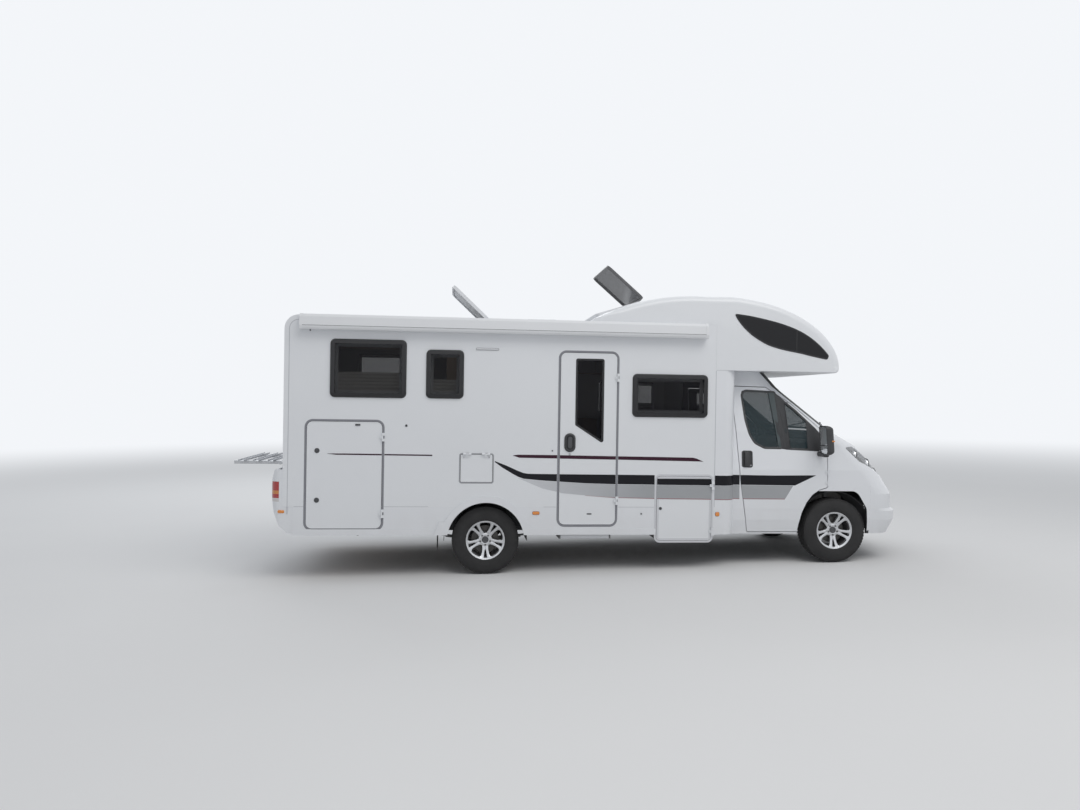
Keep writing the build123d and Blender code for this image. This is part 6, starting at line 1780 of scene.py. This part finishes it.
# %% Step tread
rib_shape = template("step_rib", ([(x, y, z) for z, grow in ((0.0, 1.0), (2.0, 0.7))
                                   for x, y in ((-4.0 * grow, -110.0 * grow),
                                                (4.0 * grow, -110.0 * grow),
                                                (4.0 * grow, 110.0 * grow),
                                                (-4.0 * grow, 110.0 * grow))],
                                  tube_faces(2, 4, False)))
ribs = GRID_WORKS.run(Shape=rib_shape, Across=31, Rows=1, Pitch=16.0, Rise=10.0)
bpy.data.objects.remove(rib_shape)
tread = moved(ribs, lambda a, b, c: row(a, -958.0 + b, 404.0 + c))
make_piece("step_tread", [tread], "black_plastic", body="entry_step")

# %% [markdown]
# The seats seen through the cab's glass are padded, so they are soft shapes and not blocks: a
# seat cushion and a back with side rolls, and a head rest. Each starts as a coarse cage that
# bulges in its middle and draws in at its edges, and subdivision rounds it. They take the place
# of the plain solid seats.

# %% Cab seats

def cushion(origin, along, across, up, half_sizes, crown, name):
    """A padded form: a grid over all six sides of a box, puffed out towards its middle."""
    a, b, c = half_sizes
    built = bmesh.new()
    bmesh.ops.create_cube(built, size=2.0)
    bmesh.ops.subdivide_edges(built, edges=built.edges, cuts=7, use_grid_fill=True)
    for point in built.verts:
        u, v, w = point.co
        full = 1.0 - 0.10 * (abs(u) ** 4 * abs(v) ** 4 + abs(v) ** 4 * abs(w) ** 4
                             + abs(u) ** 4 * abs(w) ** 4)
        roll = 1.0 + crown[1] * (abs(v) ** 6)
        puff = 1.0 + crown[0] * (1.0 - u * u) * (1.0 - v * v) if w > 0.0 else 1.0
        channel = 1.0 - 0.035 * math.exp(-((abs(v) - 0.62) / 0.05) ** 2) if w > 0.5 else 1.0
        point.co = (origin + along * (u * a * full) + across * (v * b * full)
                    + up * (w * c * full * puff * roll * channel))
    mesh = bpy.data.meshes.new(name)
    bmesh.ops.recalc_face_normals(built, faces=built.faces)
    built.to_mesh(mesh)
    built.free()
    mesh.shade_smooth()
    mesh.materials.append(FINISHES["seat_fabric"])
    piece = put_in_scene(name, mesh)
    soften = piece.modifiers.new("soften", "SUBSURF")
    soften.levels = soften.render_levels = 1
    piece.data = baked(piece)
    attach(piece, "vehicle_body")
    return piece


for side, word in SIDES:
    y = side * 480.0
    ahead, across = row_direction(1, 0, 0.05), row_direction(0, 1, 0)
    up = row_direction(-0.05, 0, 1)
    cushion(row(2165.0, y, 1120.0), ahead, across, up,
                               (0.235, 0.228, 0.072), (0.28, 0.14), "seat_cushion_" + word)
    lean, thick = row_direction(-0.24, 0, 1), row_direction(1, 0, 0.24)
    cushion(row(1880.0, y, 1415.0), lean, across, thick,
                               (0.285, 0.222, 0.062), (0.24, 0.22), "seat_back_" + word)
    cushion(row(1800.0, y, 1795.0), lean, across, thick,
                               (0.085, 0.130, 0.045), (0.18, 0.0), "head_rest_" + word)
    posts = [bar_along([row(1818.0, y + shift, 1690.0), row(1803.0, y + shift, 1765.0)],
                       0.0065, 8) for shift in (-50.0, 50.0)]
    frame_parts = [slab((1940.0, y - 200.0, 760.0), (2380.0, y + 200.0, 1040.0), 24.0)]
    base = make_piece("seat_base_" + word, frame_parts + posts, "dark_plastic")
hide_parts("cab_seats")

# %% [markdown]
# The brow over the cab is one glass-fibre moulding, full and round at its nose, with a soft
# shoulder where its roof meets its sides. The solid model has it in flat strips, so here it is
# lofted again: one side profile, drawn smoothly, is scaled along the body and drawn in at the
# shoulder for each distance from the middle. The opening of the rooflight is cut with a Boolean.

# %% The brow's outer moulding
BROW_PROFILE = [(1666.0, 3088.0), (1844.0, 3070.0), (2022.0, 3040.0), (2190.0, 3001.0),
                (2383.0, 2935.0), (2505.0, 2880.0), (2626.0, 2812.0), (2725.0, 2742.0),
                (2811.0, 2668.0), (2885.0, 2582.0), (2938.0, 2497.0), (2973.0, 2412.0),
                (2987.0, 2335.0), (2982.0, 2286.0), (2955.0, 2262.0), (2905.0, 2258.0)]
BROW_FOOT, BROW_RISE, BROW_TOP = (70.0, 2806.0), (600.0, 3008.0), (1350.0, 3084.0)
BROW_FRONT, BROW_HEEL, BROW_FLOOR = 2987.0, 1453.0, 2258.3
# The foremost x at each distance from the middle of the body
BROW_PLAN = [(0.0, 3082.0), (400.0, 3072.0), (600.0, 3055.0), (880.0, 3010.0), (950.0, 2985.0),
             (1080.0, 2922.0), (1130.0, 2905.0), (1150.0, 2890.0)]
SHOULDER_WIDE, SHOULDER_DEEP = 90.0, 75.0


def arc_through(a, b, c, steps):
    """Points of the arc through three points, from the first to before the last."""
    x, z, radius = circle_through(a, b, c)
    first, last = math.atan2(a[1] - z, a[0] - x), math.atan2(c[1] - z, c[0] - x)
    angles = [first + (last - first) * step / steps for step in range(steps)]
    return [(x + radius * math.cos(angle), z + radius * math.sin(angle)) for angle in angles]


BROW_LINE = (arc_through(BROW_FOOT, BROW_RISE, BROW_TOP, 18)
             + smooth_line([BROW_TOP] + BROW_PROFILE))


def brow_section(y):
    """The closed side profile at one distance from the middle."""
    inside = min(HALF_WIDTH - abs(y), SHOULDER_WIDE)
    part = (SHOULDER_WIDE - inside) / SHOULDER_WIDE
    inset = SHOULDER_DEEP * (1.0 - math.sqrt(1.0 - part * part))
    grow = (level(BROW_PLAN, abs(y)) - BROW_TOP[0]) / (BROW_FRONT - BROW_TOP[0])
    crown = 6.0 * max(0.0, 1.0 - max(abs(y) - 450.0, 0.0) / 450.0)
    line = [(BROW_TOP[0] + (x - BROW_TOP[0]) * grow if x > BROW_TOP[0] else x,
             z + crown * min(1.0, (x - 70.0) / 400.0)) for x, z in BROW_LINE]
    result = []
    for index, (x, z) in enumerate(line):
        ahead, back = line[min(index + 1, len(line) - 1)], line[max(index - 1, 0)]
        run = Vector((ahead[0] - back[0], ahead[1] - back[1])).normalized()
        fade = min(1.0, max(0.0, (z - BROW_FLOOR) / 60.0), max(0.0, (x - 60.0) / 300.0))
        result.append((x + run.y * inset * fade, max(z - run.x * inset * fade, BROW_FLOOR)))
    start = [(0.0, 2760.3)]
    low = [(BROW_HEEL, BROW_FLOOR), (BROW_HEEL, 2760.3)]
    return [row(x, y, z) for x, z in start + result + low]


steps = [math.sin(math.pi / 2 * step / 9) for step in range(10)]
edge = [HALF_WIDTH - SHOULDER_WIDE * (1.0 - s) for s in steps]
inner = [HALF_WIDTH - SHOULDER_WIDE - 40.0 - 92.0 * step for step in range(11)]
half = sorted({*edge, *[y for y in inner if y > 20.0], 0.0})
stations = [-y for y in reversed(half) if y > 0.0] + half
sections = [brow_section(y) for y in stations]
brow_body = make_piece("brow_moulding", [([point for ring in sections for point in ring],
                                          tube_faces(len(sections), len(sections[0]), False))],
                       "white_panel", crease=36)
LIGHT_X, LIGHT_LONG, LIGHT_WIDE = 472.0, 500.0, 860.0
well = template("rooflight_well", slab((LIGHT_X - LIGHT_LONG / 2, -LIGHT_WIDE / 2, 2830.0),
                                       (LIGHT_X + LIGHT_LONG / 2, LIGHT_WIDE / 2, 3300.0), 8.0))
cut = brow_body.modifiers.new("rooflight", "BOOLEAN")
cut.object, cut.operation, cut.solver = well, "DIFFERENCE", "EXACT"
opened = baked(brow_body)
brow_body.data = opened
bpy.data.objects.remove(well)
opened.set_sharp_from_angle(angle=math.radians(36))
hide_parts("alcove")
print("brow faces", len(opened.polygons))

# %% [markdown]
# Through the glass one sees a furnished vehicle, so the inside gets what shows from outside: a
# mattress with pillows on the rear bed, cushions on both benches, overhead cupboards along the
# walls, and a padded steering wheel with its hub. Soft things are made as the seats were.

# %% Bedding, bench cushions and steering wheel
TICKING = woven("mattress_cloth", (0.55, 0.53, 0.49), (0.68, 0.66, 0.62), 260.0)
level_x, level_y, level_z = row_direction(1, 0, 0), row_direction(0, 1, 0), row_direction(0, 0, 1)
mattress = cushion(row(-2690.0, 0.0, 1925.0), level_x, level_y, level_z, (0.455, 1.085, 0.062),
                   (0.08, 0.0), "mattress")
for word, y in (("right", -560.0), ("left", 560.0)):
    pillow = cushion(row(-3010.0, y, 2030.0), level_x, level_y, level_z, (0.125, 0.30, 0.040),
                     (0.35, 0.0), "pillow_" + word)
    pillow.data.materials[0] = TICKING
mattress.data.materials[0] = TICKING
for word, spot, sizes in (("bench", (770.0, 795.0, 1222.0), (0.205, 0.305, 0.040)),
                          ("side_bench", (980.0, -905.0, 1222.0), (0.410, 0.200, 0.040))):
    cushion(row(*spot), level_x, level_y, level_z, sizes, (0.22, 0.0), word + "_cushion")
cushion(row(598.0, 795.0, 1500.0), level_z, level_y, level_x, (0.235, 0.300, 0.036),
        (0.25, 0.0), "bench_back")
cushion(row(980.0, -1068.0, 1480.0), level_x, level_z, level_y, (0.400, 0.215, 0.034),
        (0.25, 0.0), "side_bench_back")

WHEEL_HUB, TILT = Vector((2440.0, 480.0, 1330.0)), math.radians(-62.0)


def wheel_place(a, b, c):
    """Maps a turned shape's radius directions (a, c) and axis b to the steering column."""
    return row(WHEEL_HUB.x + a * math.cos(TILT) + b * math.sin(TILT), WHEEL_HUB.y + c,
               WHEEL_HUB.z - a * math.sin(TILT) + b * math.cos(TILT))


WHEEL_RADIUS = 185.0
grip = [(16.5 * math.sin(math.tau * step / 12), WHEEL_RADIUS + 16.5 * math.cos(
    math.tau * step / 12)) for step in range(12)]
hub = [(-8.0, 0.1), (-8.0, 62.0), (2.0, 70.0), (14.0, 66.0), (22.0, 50.0), (26.0, 0.1)]
make_piece("steering_wheel_grip", [turned(grip, wheel_place, 40), turned(hub, wheel_place, 28)],
           "black_plastic", crease=45)

# %% Overhead cupboards
CUPBOARD_LID = board("cupboard_lid", (0.66, 0.63, 0.58), (0.58, 0.55, 0.50), (1.0, 1.0, 0.2),
                     0.35)
lids, grips, carcases = [], [], []
# Each row of cupboards: side, rear end, front end and height of its floor
for side, start, end, floor in ((-1, 430.0, 1390.0, 2262.0), (1, -540.0, 1390.0, 2262.0),
                                (-1, -3100.0, -1640.0, 2540.0), (1, -3100.0, -1640.0, 2540.0)):
    count = round((end - start) / 480.0)
    width = (end - start) / count
    carcases.append(side_slab(side, (start, end), (800.0, 1106.0), (floor, 2712.0), 8.0))
    for step in range(count):
        low = floor + 10.0
        x0, x1 = start + step * width + 5.0, start + (step + 1) * width - 5.0
        lids.append(side_slab(side, (x0, x1), (800.5, 782.0), (low, 2700.0), 6.0))
        middle = (x0 + x1) / 2
        grips.append(side_slab(side, (middle - 45.0, middle + 45.0), (782.5, 770.0),
                               (low + 18.0, low + 32.0), 4.0))
make_piece("cupboard_carcases", carcases, "cabinet_wood")
make_piece("cupboard_lids", lids, "cabinet_wood", finish=CUPBOARD_LID)
make_piece("cupboard_grips", grips, "alloy")
print("cupboard lids", len(lids))

# %% [markdown]
# The roof is a smooth glass-fibre skin with a white profile along its sides and its rear. Each of
# the two closed rooflights has a low pale dome with rounded edges on a white frame, and catches.

# %% Roof edges and domes
ROOF_TOP = 2760.0


def roof_face(x, y, out):
    return row(x, y, ROOF_TOP + out)


edges = [seam([(REAR_X + 160.0, side * 1078.0), (60.0, side * 1078.0)], 22.0, roof_face, 2.4)
         for side in (-1, 1)]
edges.append(seam([(REAR_X + 160.0, -1060.0), (REAR_X + 160.0, 1060.0)], 22.0, roof_face, 2.4))
make_piece("roof_edge_profiles", edges, "awning_white")
DOME = pane("dome_acrylic", (0.62, 0.64, 0.66), 0.75, 0.12, gloss=0.5)
domes, rims, catches = [], [], []
for x0, x1, y0, y1 in ((-650.0, -250.0, -550.0, -150.0), (-2850.0, -2450.0, 0.0, 400.0)):
    loop = box_loop(x0 + 12.0, x1 - 12.0, y0 + 12.0, y1 - 12.0, 40.0)
    domes.append(moulding(loop, [(-6.0, 58.5), (-8.0, 66.0), (-13.0, 73.0), (-22.0, 78.0),
                                 (-36.0, 80.0)], roof_face))
    rims.append(moulding(loop, [(-2.0, 57.0), (4.0, 58.0), (4.0, 62.0), (0.0, 65.0),
                                (-14.0, 65.0), (-14.0, 57.0)], roof_face, ring=True))
    for y in (y0 + 8.0, y1 - 8.0):
        catches.append(slab(((x0 + x1) / 2 - 40.0, y - 16.0, ROOF_TOP + 57.0),
                            ((x0 + x1) / 2 + 40.0, y + 16.0, ROOF_TOP + 71.0), 5.0))
make_piece("vent_domes", domes, "smoked_acrylic", finish=DOME, crease=40)
make_piece("vent_dome_rims", rims, "white_plastic")
make_piece("vent_dome_catches", catches, "dark_plastic")

# %% [markdown]
# The tail is framed by a flat profile at each side and has a blank plate on the bumper, under two
# small lamps.

# %% Tail profiles and rear plate
tail_edges = [seam([(side * 1100.0, 1130.0), (side * 1100.0, 2590.0)], 24.0, tail_face, 3.0)
              for side in (-1, 1)]
tail_edges.append(seam([(-1060.0, 1116.0), (1060.0, 1116.0)], 10.0, tail_face, 2.0))
make_piece("tail_profiles", tail_edges, "awning_white")
BACK_X = min(touch("rear_bumper", -4200.0, y, z, (1.0, 0.0, 0.0)).x
             for y in (-270.0, -10.0, 270.0) for z in (744.0, 800.0, 856.0))
plate(lambda y, z, out: row(BACK_X - out + 4.0, y, z), 800.0, "rear_plate")
plate_lamps = [moulding(box_loop(y - 22.0, y + 22.0, 882.0, 904.0, 8.0),
                        [(0.0, 0.0), (0.0, 14.0), (-4.0, 20.0)],
                        lambda u, v, out: row(BACK_X - out + 4.0, u, v)) for y in (-170.0, 170.0)]
make_piece("plate_lamps", plate_lamps, "black_plastic")
print("tail at x", round(BACK_X, 1))

# %% [markdown]
# Under the bonnet the plain block of the engine gets a ribbed cover, a filler cap and two hoses to
# the radiator, because they show as soon as the bonnet is raised.

# %% Engine cover and hoses
cover = [slab((3030.0, -262.0, 1086.0), (3322.0, 262.0, 1118.0), 14.0)]
cover += [slab((3050.0, -226.0 + 56.5 * step, 1116.0), (3302.0, -204.0 + 56.5 * step, 1126.0), 4.0)
          for step in range(9)]
cap_spot = lambda a, b, c: row(3180.0 + a, -300.0 + c, 1088.0 + b)
cover.append(turned([(0.0, 0.1), (0.0, 30.0), (16.0, 30.0), (24.0, 26.0), (26.0, 0.1)],
                    cap_spot, 20))
make_piece("engine_cover", cover, "dark_plastic")
HOSE = rubber("coolant_hose", (0.020, 0.020, 0.022), 0.5, 0.2)
hoses = [bar_along([row(*point) for point in smooth_line(route, 4)], 0.021, 12)
         for route in ([(3332.0, 150.0, 1040.0), (3372.0, 190.0, 1062.0),
                        (3420.0, 260.0, 1062.0), (3482.0, 300.0, 1040.0)],
                       [(3332.0, -150.0, 640.0), (3380.0, -180.0, 600.0),
                        (3430.0, -240.0, 580.0), (3482.0, -280.0, 580.0)])]
make_piece("coolant_hoses", hoses, "tyre", finish=HOSE, crease=50)
